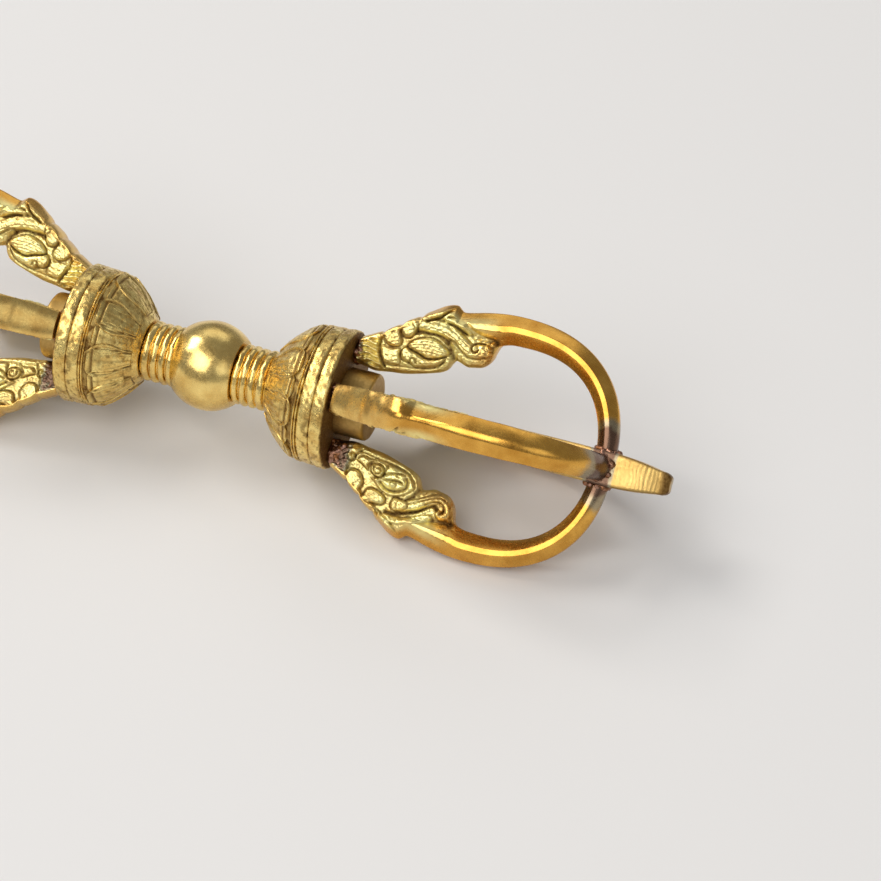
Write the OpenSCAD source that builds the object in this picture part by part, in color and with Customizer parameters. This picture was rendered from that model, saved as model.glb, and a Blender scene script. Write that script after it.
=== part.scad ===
// Five-pronged hand vajra in brass. A globe, two ringed collars and two lotus bulbs
// are threaded on a core rod. Each bulb carries a square central prong in a round boss
// and a cage of four curved prongs, each growing out of a sea-monster head.
// The axis lies along X, Z is up and the middle of the globe is the origin.

/* [Grip] */
// Diameter of the globe
globe_d = 12.2; // [11:0.1:15]
// Length of the globe between its flat ends
globe_len = 8.2; // [6.5:0.1:8.6]
// Diameter over the rings of a collar
collar_d = 8.4; // [7.6:0.1:8.8]
// Number of thin rings on a collar
thin_ring_count = 3; // [2:1:5]
// Length of one thin ring along the axis
thin_ring_len = 1.15; // [0.8:0.05:1.5]
// Length of the thick ring beside the bulb
thick_ring_len = 1.4; // [1:0.1:2.5]
// Depth of the grooves between the rings
ring_groove = 0.45; // [0.2:0.05:0.7]

/* [Lotus bulb] */
// Diameter of the cup where it leaves the collar
cup_neck_d = 8.2; // [7.6:0.1:9]
// Diameter of the cup at its bead ring
cup_d = 18; // [17.2:0.1:20]
// Length of the petalled cup
cup_len = 5.8; // [5:0.1:8]
// How far the cup bulges beyond a straight cone
cup_bulge = 0.9; // [0.3:0.1:1.1]
// Number of petals around the cup
petal_count = 8; // [6:1:10]
// Height of the petals above the cup
petal_rise = 0.4; // [0.25:0.05:0.6]
// Width of the groove between petals
petal_gap = 0.6; // [0.4:0.1:1]
// Length of the bead ring between petals and bands
bead_ring_len = 0.7; // [0.5:0.1:1]
// Height of the bead ring
bead_ring_rise = 0.35; // [0.2:0.05:0.5]
// Length of each of the two rim bands
band_len = 1.8; // [1.4:0.1:2.5]
// Height of the rounding of each rim band
band_rise = 0.3; // [0.15:0.05:0.5]
// Diameter of the rim at the end face
rim_d = 18.6; // [18:0.1:20]

/* [Core and boss] */
// Diameter of the core rod and of the prong tangs
rod_d = 4; // [3:0.1:5]
// Difference between a bore and the rod in it
rod_clear = 0.1; // [0.05:0.05:0.2]
// Depth of the core rod's end inside the boss
rod_seat = 2; // [1:0.1:2.5]
// Diameter of the boss on the end face
boss_d = 9.2; // [8:0.1:9.6]
// Length of the boss
boss_len = 4.1; // [3.6:0.1:6]
// Chamfer of the boss's outer edge
boss_chamfer = 0.3; // [0.1:0.05:0.6]

/* [Central prong] */
// Side of the square bar at the boss
bar_root_w = 4.2; // [4:0.1:5]
// Side of the square bar where the outer prongs meet it
bar_cross_w = 4.7; // [4:0.1:5.4]
// Side of the square bar at its blunt end
bar_tip_w = 3.2; // [2.8:0.1:3.8]
// Length of the bar beyond the middle of the crossing
bar_beyond = 9.2; // [6:0.1:12]
// Radius of the rounding at the blunt end
bar_tip_round = 0.7; // [0.3:0.1:1]

/* [Outer prongs] */
// Diameter of the circle on which the prong roots are pegged
root_circle_d = 14.4; // [13.8:0.1:14.8]
// Distance along the axis from a prong's root to its belly
root_to_belly = 21; // [19:0.5:25]
// Distance along the axis from the belly to the crossing
belly_to_cross = 14.3; // [12:0.1:18]
// Radius of the blade's middle line at the belly
belly_r = 14.5; // [13:0.1:17]
// Fullness of the bend, 2 for an ellipse and more for a squarer bend
bend_power = 2.35; // [2:0.05:3]
// Thickness of the blade at the belly, towards the axis
blade_thick = 3.9; // [3:0.1:4.6]
// Width of the blade at the belly, round the axis
blade_w = 4.6; // [3.6:0.1:5.2]
// Thickness of the blade where it leaves the head
blade_root_thick = 2.9; // [2.4:0.1:3.6]
// Thickness of the blade at the crossing
blade_tip_thick = 2.8; // [2.2:0.1:3.4]
// Width of the blade at the crossing
blade_tip_w = 3.6; // [2.6:0.1:4.2]
// Share of the section's sides that is blunted at each edge
blade_blunt = 0.14; // [0.05:0.01:0.3]
// Length of the head from the root to the end of its curled trunk
head_len = 17.9; // [16:0.1:19.5]
// Thickness of the head's body, round the axis
head_thick = 3.6; // [3:0.1:4.4]
// Height of the head's carved lobes above its body
lobe_rise = 0.5; // [0.3:0.05:0.7]

/* [Brazed joints] */
// Diameter of the peg on a prong's root
peg_d = 2.2; // [1.6:0.1:2.6]
// Length of that peg
peg_len = 2.6; // [2:0.1:4]
// Difference between a peg and its socket
peg_clear = 0.1; // [0.05:0.05:0.2]
// Diameter of the braze around a root
root_braze_d = 4.2; // [3.8:0.1:4.4]
// Diameter of the braze at a tip
tip_braze_d = 4; // [3.4:0.1:4.4]
// Thickness of the braze
braze_thick = 0.5; // [0.3:0.05:0.8]

/* [Hidden] */
BRASS = "goldenrod";
BRIGHT_BRASS = "gold";
ORANGE_BRASS = "darkgoldenrod";
BRAZE = "saddlebrown";

// Angle round the axis and end of the axis, +1 for the right, of each outer prong
OUTER_PRONGS = [
    ["outer_prong_near_upper_right", 45, 1],
    ["outer_prong_near_lower_right", 135, 1],
    ["outer_prong_far_lower_right", 225, 1],
    ["outer_prong_far_upper_right", 315, 1],
    ["outer_prong_near_upper_left", 45, -1],
    ["outer_prong_near_lower_left", 135, -1],
    ["outer_prong_far_lower_left", 225, -1],
    ["outer_prong_far_upper_left", 315, -1],
];
PRONG_ANGLES = [45, 135, 225, 315];

ROUND_FN = 96;
PEG_FN = 16;
PEBBLE_FN = 8;
OVERLAP = 0.4;

// Stations along the axis, from the middle of the globe to the right-hand tip
collar_x = globe_len / 2;
collar_len = thin_ring_count * thin_ring_len + thick_ring_len;
bulb_x = collar_x + collar_len;
bulb_len = cup_len + bead_ring_len + 2 * band_len;
bulb_end_x = bulb_x + bulb_len;
boss_end_x = bulb_end_x + boss_len;
root_x = bulb_end_x + braze_thick;
belly_x = root_x + root_to_belly;
cross_x = belly_x + belly_to_cross;
tip_x = cross_x + bar_beyond;
rod_end_x = bulb_end_x + rod_seat;

bore_d = rod_d + rod_clear;
root_r = root_circle_d / 2;
blade_end_r = bar_cross_w / 2 + braze_thick;

// Outlines of turned rings
RING_STEPS = 6;
CUP_STEPS = 8;

// A rounded ring from one station and radius to the next, as [radius, station] points
function bulge(x0, x1, r0, r1, rise, steps) = [
    for (i = [0:steps])
        let (t = i / steps)
        [r0 + (r1 - r0) * t + rise * 4 * t * (1 - t), x0 + (x1 - x0) * t]
];
function between(a, b, t) = a + (b - a) * t;

module turned(outline) {
    rotate([0, 90, 0])
        rotate_extrude($fn = ROUND_FN)
            polygon(outline);
}

module round_bar(d, x0, x1) {
    translate([x0, 0, 0])
        rotate([0, 90, 0])
            cylinder(d = d, h = x1 - x0, $fn = ROUND_FN);
}

module on_end(side) {
    mirror([side < 0 ? 1 : 0, 0, 0])
        children();
}

// Core rod hidden inside the grip
module core_rod() {
    color(ORANGE_BRASS)
        round_bar(rod_d, -rod_end_x, rod_end_x);
}

// Globe in the middle of the grip
module globe() {
    color(BRASS)
        difference() {
            intersection() {
                sphere(d = globe_d, $fn = ROUND_FN);
                round_bar(globe_d, -globe_len / 2, globe_len / 2);
            }
            round_bar(bore_d, -globe_len, globe_len);
        }
}

// Collar of thin rings and one thick ring
module ringed_collar(side) {
    groove_r = collar_d / 2 - ring_groove;
    thick_x = bulb_x - thick_ring_len;
    thin_rings = [
        for (k = [0:thin_ring_count - 1])
            let (x0 = collar_x + k * thin_ring_len)
            each bulge(x0, x0 + thin_ring_len, groove_r, groove_r, ring_groove, RING_STEPS)
    ];
    thick_ring = bulge(thick_x, bulb_x, groove_r, groove_r, ring_groove, RING_STEPS);
    color(BRASS)
        on_end(side)
            turned(concat([[bore_d / 2, collar_x]], thin_rings, thick_ring, [[bore_d / 2, bulb_x]]));
}

// Cup surface, raised by a given height, as [radius, station] points
function cup_outline(raised) =
    bulge(bulb_x, bulb_x + cup_len, cup_neck_d / 2 + raised, cup_d / 2 + raised, cup_bulge, CUP_STEPS);

function cup_r(t) = between(cup_neck_d, cup_d, t) / 2 + cup_bulge * 4 * t * (1 - t);

// Half width of a petal: the cup's share at each station, drawn in to a pointed tip
PETAL_STEPS = 5;
PETAL_FOOT = 0.12;
PETAL_SHOULDER = 0.62;
PETAL_TIP = 0.98;
function petal_half_w(t) = cup_r(t) * tan(180 / petal_count) - petal_gap / 2;
petal_side = concat(
    [[PETAL_FOOT, petal_half_w(PETAL_FOOT)], [PETAL_SHOULDER, petal_half_w(PETAL_SHOULDER)]],
    [
        for (i = [1:PETAL_STEPS])
            let (t = i / PETAL_STEPS)
            [between(PETAL_SHOULDER, PETAL_TIP, t), petal_half_w(PETAL_SHOULDER) * (1 - t * t)]
    ]
);
petal_outline = [
    for (p = petal_side) [bulb_x + cup_len * p[0], p[1]],
    for (i = [len(petal_side) - 2:-1:0]) [bulb_x + cup_len * petal_side[i][0], -petal_side[i][1]]
];

module petals() {
    raised_cup = concat(
        [[rod_d / 2 + OVERLAP, bulb_x]],
        cup_outline(petal_rise),
        [[rod_d / 2 + OVERLAP, bulb_x + cup_len]]
    );
    for (k = [0:petal_count - 1])
        intersection() {
            turned(raised_cup);
            rotate([(k + 0.5) * 360 / petal_count, 0, 0])
                translate([0, 0, rod_d / 2 + OVERLAP])
                    linear_extrude(height = cup_d)
                        polygon(petal_outline);
        }
}

// Lotus bulb: petalled cup, bead ring and two rim bands, with sockets for the prongs
module lotus_bulb(side) {
    bead_x = bulb_x + cup_len;
    band_x = bead_x + bead_ring_len;
    band_r = between(cup_d, rim_d, 0.5) / 2;
    outline = concat(
        [[bore_d / 2, bulb_x]],
        cup_outline(0),
        bulge(bead_x, band_x, cup_d / 2, cup_d / 2, bead_ring_rise, RING_STEPS),
        bulge(band_x, band_x + band_len, cup_d / 2, band_r, band_rise, RING_STEPS),
        bulge(band_x + band_len, bulb_end_x, band_r, rim_d / 2, band_rise, RING_STEPS),
        [[bore_d / 2, bulb_end_x]]
    );
    socket_x = root_x - peg_len - peg_clear;
    color(BRASS)
        on_end(side)
            difference() {
                union() {
                    turned(outline);
                    petals();
                }
                for (a = PRONG_ANGLES)
                    rotate([a, 0, 0])
                        translate([0, 0, root_r])
                            round_bar(peg_d + peg_clear, socket_x, bulb_end_x + OVERLAP);
            }
}

// Boss that holds the end of the core rod and the tang of the central prong
module socket_boss(side) {
    outline = [
        [bore_d / 2, bulb_end_x],
        [boss_d / 2, bulb_end_x],
        [boss_d / 2, boss_end_x - boss_chamfer],
        [boss_d / 2 - boss_chamfer, boss_end_x],
        [bore_d / 2, boss_end_x],
    ];
    color(ORANGE_BRASS)
        on_end(side)
            turned(outline);
}

// Square central prong with a round tang; its flats face the outer prongs
TAPER_STEPS = 5;
ROUND_STEPS = 4;
bar_side = concat(
    [[boss_end_x, bar_root_w / 2]],
    [
        for (i = [0:TAPER_STEPS])
            let (t = i / TAPER_STEPS)
            [between(cross_x, tip_x - bar_tip_round, t), between(bar_cross_w, bar_tip_w, t * t) / 2]
    ],
    [
        for (i = [1:ROUND_STEPS])
            let (a = 90 * i / ROUND_STEPS)
            [tip_x - bar_tip_round * (1 - sin(a)), bar_tip_w / 2 - bar_tip_round * (1 - cos(a))]
    ]
);
bar_outline = concat(bar_side, [for (i = [len(bar_side) - 1:-1:0]) [bar_side[i][0], -bar_side[i][1]]]);

module bar_slab() {
    linear_extrude(height = 2 * bar_cross_w, center = true)
        polygon(bar_outline);
}

module central_prong(side) {
    color(ORANGE_BRASS)
        on_end(side)
            union() {
                rotate([45, 0, 0])
                    intersection() {
                        bar_slab();
                        rotate([90, 0, 0])
                            bar_slab();
                    }
                round_bar(rod_d, rod_end_x + rod_clear, boss_end_x + OVERLAP);
            }
}

// Middle line of a blade, as [distance along the axis from the root, radius] points:
// it rises out of the head to the belly and bends in to the central prong
LEAD_STEPS = 4;
BEND_STEPS = 13;
LEAD_START = 0.59;
LEAD_DROP = 0.15;
LEAD_GUIDE = 0.47;
lead_x = head_len * LEAD_START;
lead_guide_x = between(lead_x, root_to_belly, LEAD_GUIDE);
lead_drop = (belly_r - root_r) * LEAD_DROP;
bend_end = asin(pow(blade_end_r / belly_r, bend_power / 2));
lead_line = [
    for (i = [0:LEAD_STEPS - 1])
        let (t = i / LEAD_STEPS, s = 1 - t)
        [s * s * lead_x + 2 * s * t * lead_guide_x + t * t * root_to_belly, belly_r - s * s * lead_drop]
];
bend_line = [
    for (i = [0:BEND_STEPS])
        let (a = between(90, bend_end, i / BEND_STEPS))
        [
            root_to_belly + belly_to_cross * pow(max(cos(a), 0), 2 / bend_power),
            belly_r * pow(sin(a), 2 / bend_power)
        ]
];
blade_line = concat(lead_line, bend_line);
blade_last = len(blade_line) - 1;

// Direction of the middle line; at the crossing it runs straight at the axis
function blade_dir(i) =
    i == blade_last ? [0, -1]
    : let (d = blade_line[i + 1] - blade_line[max(i - 1, 0)]) d / norm(d);

// Eight-sided section as shares of half its height and half its width: a small share
// of flat makes a sharp rhombus, a large one a rounded bar
function section(flat) = [
    [1, flat], [flat, 1], [-flat, 1], [-1, flat],
    [-1, -flat], [-flat, -1], [flat, -1], [1, -flat],
];
SIDES = len(section(0));

// Solid through a row of eight-sided rings
module loft(rings) {
    end = (len(rings) - 1) * SIDES;
    first_cap = [for (k = [1:SIDES - 2]) [0, k + 1, k]];
    last_cap = [for (k = [1:SIDES - 2]) [end, end + k, end + k + 1]];
    walls = [
        for (i = [0:len(rings) - 2], k = [0:SIDES - 1])
            let (a = i * SIDES + k, b = i * SIDES + (k + 1) % SIDES)
            each [[a, b, a + SIDES], [b, b + SIDES, a + SIDES]]
    ];
    polyhedron(points = [for (r = rings) each r], faces = concat(first_cap, last_cap, walls));
}

function blade_ring(i) =
    let (
        t = max(i - LEAD_STEPS, 0) / BEND_STEPS,
        lead = min(i / LEAD_STEPS, 1),
        full_thick = between(blade_root_thick, blade_thick, lead),
        half_h = between(full_thick, blade_tip_thick, t) / 2,
        half_w = between(blade_w, blade_tip_w, t) / 2,
        d = blade_dir(i),
        p = blade_line[i]
    )
    [
        for (q = section(blade_blunt))
            [p[0] - d[1] * q[0] * half_h, q[1] * half_w, p[1] + d[0] * q[0] * half_h]
    ];

module blade() {
    loft([for (i = [0:blade_last]) blade_ring(i)]);
}

// Line from the root to the belly, from which the head's forms are measured
function spine_r(a) = between(root_r, belly_r, a / root_to_belly);

// The head's forms are drawn on a grid that is stretched to the head's length
HEAD_GRID = 17.9;
head_unit = head_len / HEAD_GRID;

// Body of the head from the root to the curled trunk, as rows of
// [distance from the root, lower edge and upper edge over the spine, share of the thickness]
HEAD_FLAT = 0.62;
HEAD_ROWS = [
    [0, -2.05, 1.75, 0.92],
    [1, -2.4, 2, 0.97],
    [2.4, -3.05, 2.2, 1],
    [4.5, -3.5, 2.7, 1],
    [6.5, -4, 3.2, 1],
    [8.5, -4.2, 3.8, 1],
    [10.4, -4.3, 4, 1],
    [11.7, -4.2, 3.2, 1],
    [12.7, -3.1, 2.2, 0.92],
    [14.4, -3.8, 1.9, 0.86],
    [16.2, -4.1, 1.7, 0.82],
    [17.3, -3.7, 1.5, 0.78],
    [17.9, -2.4, 1.3, 0.6],
];
function head_ring(row) =
    let (
        a = row[0] * head_unit,
        mid = spine_r(a) + head_unit * (row[1] + row[2]) / 2,
        half_h = head_unit * (row[2] - row[1]) / 2,
        half_w = row[3] * head_thick / 2
    )
    [for (q = section(HEAD_FLAT)) [a, q[1] * half_w, mid + q[0] * half_h]];

// A flattened pebble at [distance from the root, height over the spine, radius]
module pebble(p, half_t) {
    a = p[0] * head_unit;
    r = p[2] * head_unit;
    translate([a, 0, spine_r(a) + p[1] * head_unit])
        scale([r, half_t, r])
            sphere(r = 1, $fn = PEBBLE_FN);
}

// A rounded lobe through a few pebbles
module lobe(pebbles, half_t) {
    hull()
        for (p = pebbles)
            pebble(p, half_t);
}

// A rounded band along a route of pebbles
module band(route, half_t) {
    for (i = [0:len(route) - 2])
        lobe([route[i], route[i + 1]], half_t);
}

// Carved forms of the head, standing out from both sides of its body
SHOULDER_SCALE = [[3.6, 1.2, 1.2], [4.4, 1.7, 1.3]];
NAPE_SCALE = [[5.7, 2.2, 1.2], [6.6, 2.6, 1.2]];
THROAT_SCALE = [[3.9, -1.4, 1], [4.8, -1.7, 1.2]];
CHEEK = [[6.6, -1.6, 0.9], [9.1, -1.6, 2], [11.5, -1.8, 0.9]];
EYE = [[9, -0.9, 0.8]];
JAW = [[3, -2.9, 0.55], [6.5, -3.9, 0.55], [11.6, -4.1, 0.55]];
BROW = [[7.4, 2.2, 0.8], [10.2, 1.8, 0.9], [12.4, 0.2, 1], [13.7, -1.7, 1]];
TRUNK = [[13.7, -1.7, 1], [15.1, -3.1, 1], [16.7, -3, 0.9], [16.9, -1.8, 0.7], [16, -1.4, 0.5]];
CREST = [[7.6, 3.1, 0.7], [9.8, 4.1, 0.8], [11.3, 4.4, 0.3]];

module head() {
    half_t = head_thick / 2;
    raised = half_t + lobe_rise;
    loft([for (row = HEAD_ROWS) head_ring(row)]);
    lobe(SHOULDER_SCALE, raised);
    lobe(NAPE_SCALE, raised);
    lobe(THROAT_SCALE, raised);
    lobe(CHEEK, raised);
    lobe(EYE, raised + lobe_rise);
    band(JAW, raised);
    band(BROW, raised + lobe_rise);
    band(TRUNK, raised + lobe_rise);
    band(CREST, half_t);
}

// One outer prong: peg, head and blade in a single casting
module outer_prong(angle, side) {
    color(BRIGHT_BRASS)
        on_end(side)
            rotate([angle, 0, 0])
                union() {
                    translate([root_x, 0, 0]) {
                        head();
                        blade();
                    }
                    translate([root_x - peg_len, 0, root_r])
                        rotate([0, 90, 0])
                            cylinder(d = peg_d, h = peg_len + OVERLAP, $fn = PEG_FN);
                }
}

// A cushion of braze between two flat faces, along Z
module braze_cushion(d, bore) {
    rotate_extrude($fn = ROUND_FN)
        polygon(concat(
            [[bore / 2, 0]],
            bulge(0, braze_thick, d / 2 - braze_thick / 2, d / 2 - braze_thick / 2, braze_thick / 2, RING_STEPS),
            [[bore / 2, braze_thick]]
        ));
}

// Braze round the pegs, between the end face and the prong roots
module root_braze(side) {
    color(BRAZE)
        on_end(side)
            for (a = PRONG_ANGLES)
                rotate([a, 0, 0])
                    translate([bulb_end_x, 0, root_r])
                        rotate([0, 90, 0])
                            braze_cushion(root_braze_d, peg_d + peg_clear);
}

// Braze between the prong tips and the flats of the central prong
module tip_braze(side) {
    color(BRAZE)
        on_end(side)
            for (a = PRONG_ANGLES)
                rotate([a, 0, 0])
                    translate([cross_x, 0, bar_cross_w / 2])
                        braze_cushion(tip_braze_d, 0);
}

core_rod();
globe();
ringed_collar(1);  // ringed_collar_right
ringed_collar(-1);  // ringed_collar_left
lotus_bulb(1);  // lotus_bulb_right
lotus_bulb(-1);  // lotus_bulb_left
socket_boss(1);  // socket_boss_right
socket_boss(-1);  // socket_boss_left
central_prong(1);  // central_prong_right
central_prong(-1);  // central_prong_left
for (p = OUTER_PRONGS)
    outer_prong(p[1], p[2]);
root_braze(1);  // root_braze_right
root_braze(-1);  // root_braze_left
tip_braze(1);  // tip_braze_right
tip_braze(-1);  // tip_braze_left
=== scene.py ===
"""Dresses the solids of a five-pronged brass vajra: turned grip, lotus bulbs, carved prongs and braze."""

import math

import bpy
import numpy as np
from mathutils import Matrix, Vector


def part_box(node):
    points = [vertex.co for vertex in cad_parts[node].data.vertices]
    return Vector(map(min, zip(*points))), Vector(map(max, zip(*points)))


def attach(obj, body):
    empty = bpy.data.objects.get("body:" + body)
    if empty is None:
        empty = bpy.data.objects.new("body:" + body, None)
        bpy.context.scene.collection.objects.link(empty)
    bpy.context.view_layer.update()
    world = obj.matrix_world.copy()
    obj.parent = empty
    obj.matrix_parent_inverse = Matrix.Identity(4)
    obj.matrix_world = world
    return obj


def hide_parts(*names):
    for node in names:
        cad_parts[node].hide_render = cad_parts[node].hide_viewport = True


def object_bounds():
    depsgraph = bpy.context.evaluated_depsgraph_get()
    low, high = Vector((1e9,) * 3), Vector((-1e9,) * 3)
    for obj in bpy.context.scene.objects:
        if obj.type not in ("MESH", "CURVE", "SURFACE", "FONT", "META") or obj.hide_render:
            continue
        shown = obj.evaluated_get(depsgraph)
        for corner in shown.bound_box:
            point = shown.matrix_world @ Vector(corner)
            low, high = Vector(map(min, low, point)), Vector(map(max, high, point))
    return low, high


bl_info = {
    "name": "Dorje Vajra",
    "version": (1, 0, 0),
    "blender": (4, 5, 0),
    "location": "View3D > Sidebar > Vajra",
    "description": "Builds the visible pieces of a five-pronged brass vajra",
    "category": "Add Mesh",
}

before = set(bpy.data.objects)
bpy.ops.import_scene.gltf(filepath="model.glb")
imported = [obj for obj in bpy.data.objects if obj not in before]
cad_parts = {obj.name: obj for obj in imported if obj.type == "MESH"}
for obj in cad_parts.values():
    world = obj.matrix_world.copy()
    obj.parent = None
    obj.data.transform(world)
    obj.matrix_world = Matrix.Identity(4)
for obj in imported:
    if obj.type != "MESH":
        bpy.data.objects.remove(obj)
CAD_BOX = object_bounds()

# Forms are written in millimetres and become metres when a mesh is made
MM = 0.001
BODY = "root"
SIDES = {"right": 1, "left": -1}
# Each outer prong: its turn about the axis in degrees, how far the joints' brown creeps over its root and
# its tip, how deep the scales notch its back, and how soft the ridge of its blade is
PRONGS = {
    "near_upper": {"angle": 45, "root_tint": 0.6, "tip_tint": 8.4, "notch": 0.02, "ridge": 0.34},
    "near_lower": {"angle": 135, "root_tint": 3.5, "tip_tint": 4.8, "notch": 0.28, "ridge": 0.13},
    "far_lower": {"angle": 225, "root_tint": 2.2, "tip_tint": 5.2, "notch": 0.28, "ridge": 0.13},
    "far_upper": {"angle": 315, "root_tint": 0.6, "tip_tint": 6.0, "notch": 0.28, "ridge": 0.13},
}


def reach(node):
    """Largest coordinate of a right-hand node along X, and its largest radius, in millimetres."""
    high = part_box(node)[1]
    return high.x / MM, high.z / MM


def start(node):
    """Smallest coordinate of a right-hand node along X, in millimetres."""
    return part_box(node)[0].x / MM


# Stations along the axis and radii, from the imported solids
GLOBE_END, GLOBE_R = reach("globe")
COLLAR_END, COLLAR_R = reach("ringed_collar_right")
BULB_END = reach("lotus_bulb_right")[0]
BOSS_END, BOSS_R = reach("socket_boss_right")
TIP_END = reach("central_prong_right")[0]
TANG_START = start("central_prong_right")
CROSSING = (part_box("tip_braze_right")[0].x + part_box("tip_braze_right")[1].x) / 2 / MM
ROOT_X = reach("root_braze_right")[0]
# Bore of the pieces on the core rod, with a little play
BORE_R = 2.05


class VajraSizes(bpy.types.PropertyGroup):
    """Sizes that a user would change"""

    ring_count: bpy.props.IntProperty(
        name="Thin rings", description="Thin rings on each collar",
        subtype="UNSIGNED", default=3, min=2, max=6,
    )
    petal_count: bpy.props.IntProperty(
        name="Petals", description="Petals in each row of a lotus bulb",
        subtype="UNSIGNED", default=8, min=5, max=12,
    )
    petal_rise: bpy.props.FloatProperty(
        name="Petal rise", description="Height of a petal over the cup", unit="LENGTH", default=0.00036
    )
    carving: bpy.props.FloatProperty(
        name="Carving", description="Depth of the head carving as a share of the usual depth",
        subtype="FACTOR", default=1.0,
    )
    braze_lump: bpy.props.FloatProperty(
        name="Braze lump", description="Mean radius of a lump of braze", unit="LENGTH", default=0.0003
    )
    cast_wobble: bpy.props.FloatProperty(
        name="Cast wobble", description="Unevenness of the cast and filed faces",
        unit="LENGTH", default=0.00003,
    )


class VajraFinish(bpy.types.PropertyGroup):
    """Colours of the metal"""

    grip: bpy.props.FloatVectorProperty(
        name="Grip brass", description="Cast brass of the grip",
        subtype="COLOR", size=4, default=(0.87, 0.65, 0.235, 1),
    )
    head: bpy.props.FloatVectorProperty(
        name="Head brass", description="Bright brass of the carved heads",
        subtype="COLOR", size=4, default=(0.95, 0.78, 0.34, 1),
    )
    blade: bpy.props.FloatVectorProperty(
        name="Blade brass", description="Amber brass of the blades",
        subtype="COLOR", size=4, default=(0.72, 0.40, 0.08, 1),
    )
    bar: bpy.props.FloatVectorProperty(
        name="Bar brass", description="Filed brass of bosses and central prongs",
        subtype="COLOR", size=4, default=(0.68, 0.46, 0.155, 1),
    )
    # This brown is patina in the hollows, and it also paints the shade on the bosses and the bulbs' end
    # faces
    patina: bpy.props.FloatVectorProperty(
        name="Patina", description="Brown left in the hollows",
        subtype="COLOR", size=4, default=(0.16, 0.078, 0.02, 1),
    )
    braze: bpy.props.FloatVectorProperty(
        name="Braze", description="Dark copper-rich braze",
        subtype="COLOR", size=4, default=(0.36, 0.21, 0.16, 1),
    )
    fire_scale: bpy.props.FloatVectorProperty(
        name="Fire scale", description="Dark brown skin beside a joint",
        subtype="COLOR", size=4, default=(0.17, 0.09, 0.06, 1),
    )
    tint: bpy.props.FloatVectorProperty(
        name="Heat tint", description="Grey that heat leaves near a joint",
        subtype="COLOR", size=4, default=(0.32, 0.29, 0.21, 1),
    )


class VajraStage(bpy.types.PropertyGroup):
    """Camera, floor and light"""

    focal_length: bpy.props.FloatProperty(
        name="Focal length", description="Camera lens in millimetres", unit="CAMERA", default=130.8
    )
    camera_place: bpy.props.FloatVectorProperty(
        name="Camera", description="Place of the camera",
        subtype="TRANSLATION", default=(0.12637, -0.28824, 0.29129),
    )
    camera_target: bpy.props.FloatVectorProperty(
        name="Target", description="Point in the middle of the picture",
        subtype="TRANSLATION", default=(0.03339, -0.00267, 0),
    )
    camera_roll: bpy.props.FloatProperty(
        name="Roll", description="Turn of the camera about its line of sight",
        subtype="ANGLE", default=math.radians(1.93),
    )
    floor_colour: bpy.props.FloatVectorProperty(
        name="Floor", description="Pale floor",
        subtype="COLOR", size=4, default=(0.80, 0.79, 0.78, 1),
    )


# Numeric helpers

TINY = 1e-12
FAR_OFF = 1e9
# Waves that make up an uneven skin, and the factor of their mean
WAVES = 9
WAVE_GAIN = 1.6
# Steps between two drawn points of a smooth line
CURVE_STEPS = 6


def smooth_step(t):
    """Runs softly from 0 to 1 as t does, and stays there."""
    t = np.clip(t, 0, 1)
    return t * t * (3 - 2 * t)


def rising(x, first, length):
    """0 up to a station and 1 from a length beyond it, with a soft step between."""
    return smooth_step((x - first) / length)


def falling(x, last, length):
    """1 up to a length before a station and 0 beyond it, with a soft step between."""
    return smooth_step((last - x) / length)


def bell(distance, width):
    """1 on a line, falling off softly on both sides."""
    return np.exp(-((distance / width) ** 2))


def soft_max(a, b, sharp):
    """The larger of two heights, with the corner where they meet filled."""
    return np.log(np.exp(a * sharp) + np.exp(b * sharp)) / sharp


def soft_min(a, b, sharp):
    """The smaller of two heights, with the corner where they meet rounded."""
    return -soft_max(-a, -b, sharp)


def wobble(points, size, seed):
    """Smooth uneven values from about -1 to 1 over points, with bumps about as long as size."""
    rng = np.random.default_rng(seed)
    waves = rng.normal(size=(WAVES, 3))
    waves /= np.linalg.norm(waves, axis=1)[:, None]
    lengths = size * rng.uniform(0.7, 1.5, WAVES)
    phases = rng.uniform(0, 2 * math.pi, WAVES)
    waves = waves * (2 * math.pi / lengths)[:, None]
    return np.sin(points @ waves.T + phases).mean(axis=-1) * WAVE_GAIN


def layered(points, layers):
    """Uneven values in layers of (share, size, seed)."""
    return sum(share * wobble(points, size, seed) for share, size, seed in layers)


def rounded(points, closed=False):
    """A smooth line through a few drawn points."""
    p = np.asarray(points, float)
    ends = (p[-1:], p[:2]) if closed else (2 * p[:1] - p[1:2], 2 * p[-1:] - p[-2:-1])
    q = np.vstack([ends[0], p, ends[1]])
    t = np.linspace(0, 1, CURVE_STEPS, endpoint=False)[:, None]
    parts = []
    for a, b, c, d in zip(q[:-3], q[1:-2], q[2:-1], q[3:]):
        square = 2 * a - 5 * b + 4 * c - d
        cube = 3 * b - a - 3 * c + d
        parts.append(0.5 * (2 * b + (c - a) * t + square * t**2 + cube * t**3))
    return np.vstack(parts + [p[:1] if closed else p[-1:]])


def segment_offset(x, r, first, last):
    """Offset of each point from the nearest place on a straight segment, and that place's share of it."""
    dx, dr = last[0] - first[0], last[1] - first[1]
    along = (x - first[0]) * dx + (r - first[1]) * dr
    t = np.clip(along / (dx * dx + dr * dr + TINY), 0, 1)
    return x - first[0] - t * dx, r - first[1] - t * dr, t


def line_distance(x, r, line):
    """Distance of each point to a drawn line."""
    best = np.full(x.shape, FAR_OFF)
    for first, last in zip(line[:-1], line[1:]):
        off_x, off_r, _ = segment_offset(x, r, first, last)
        best = np.minimum(best, np.hypot(off_x, off_r))
    return best


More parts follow.
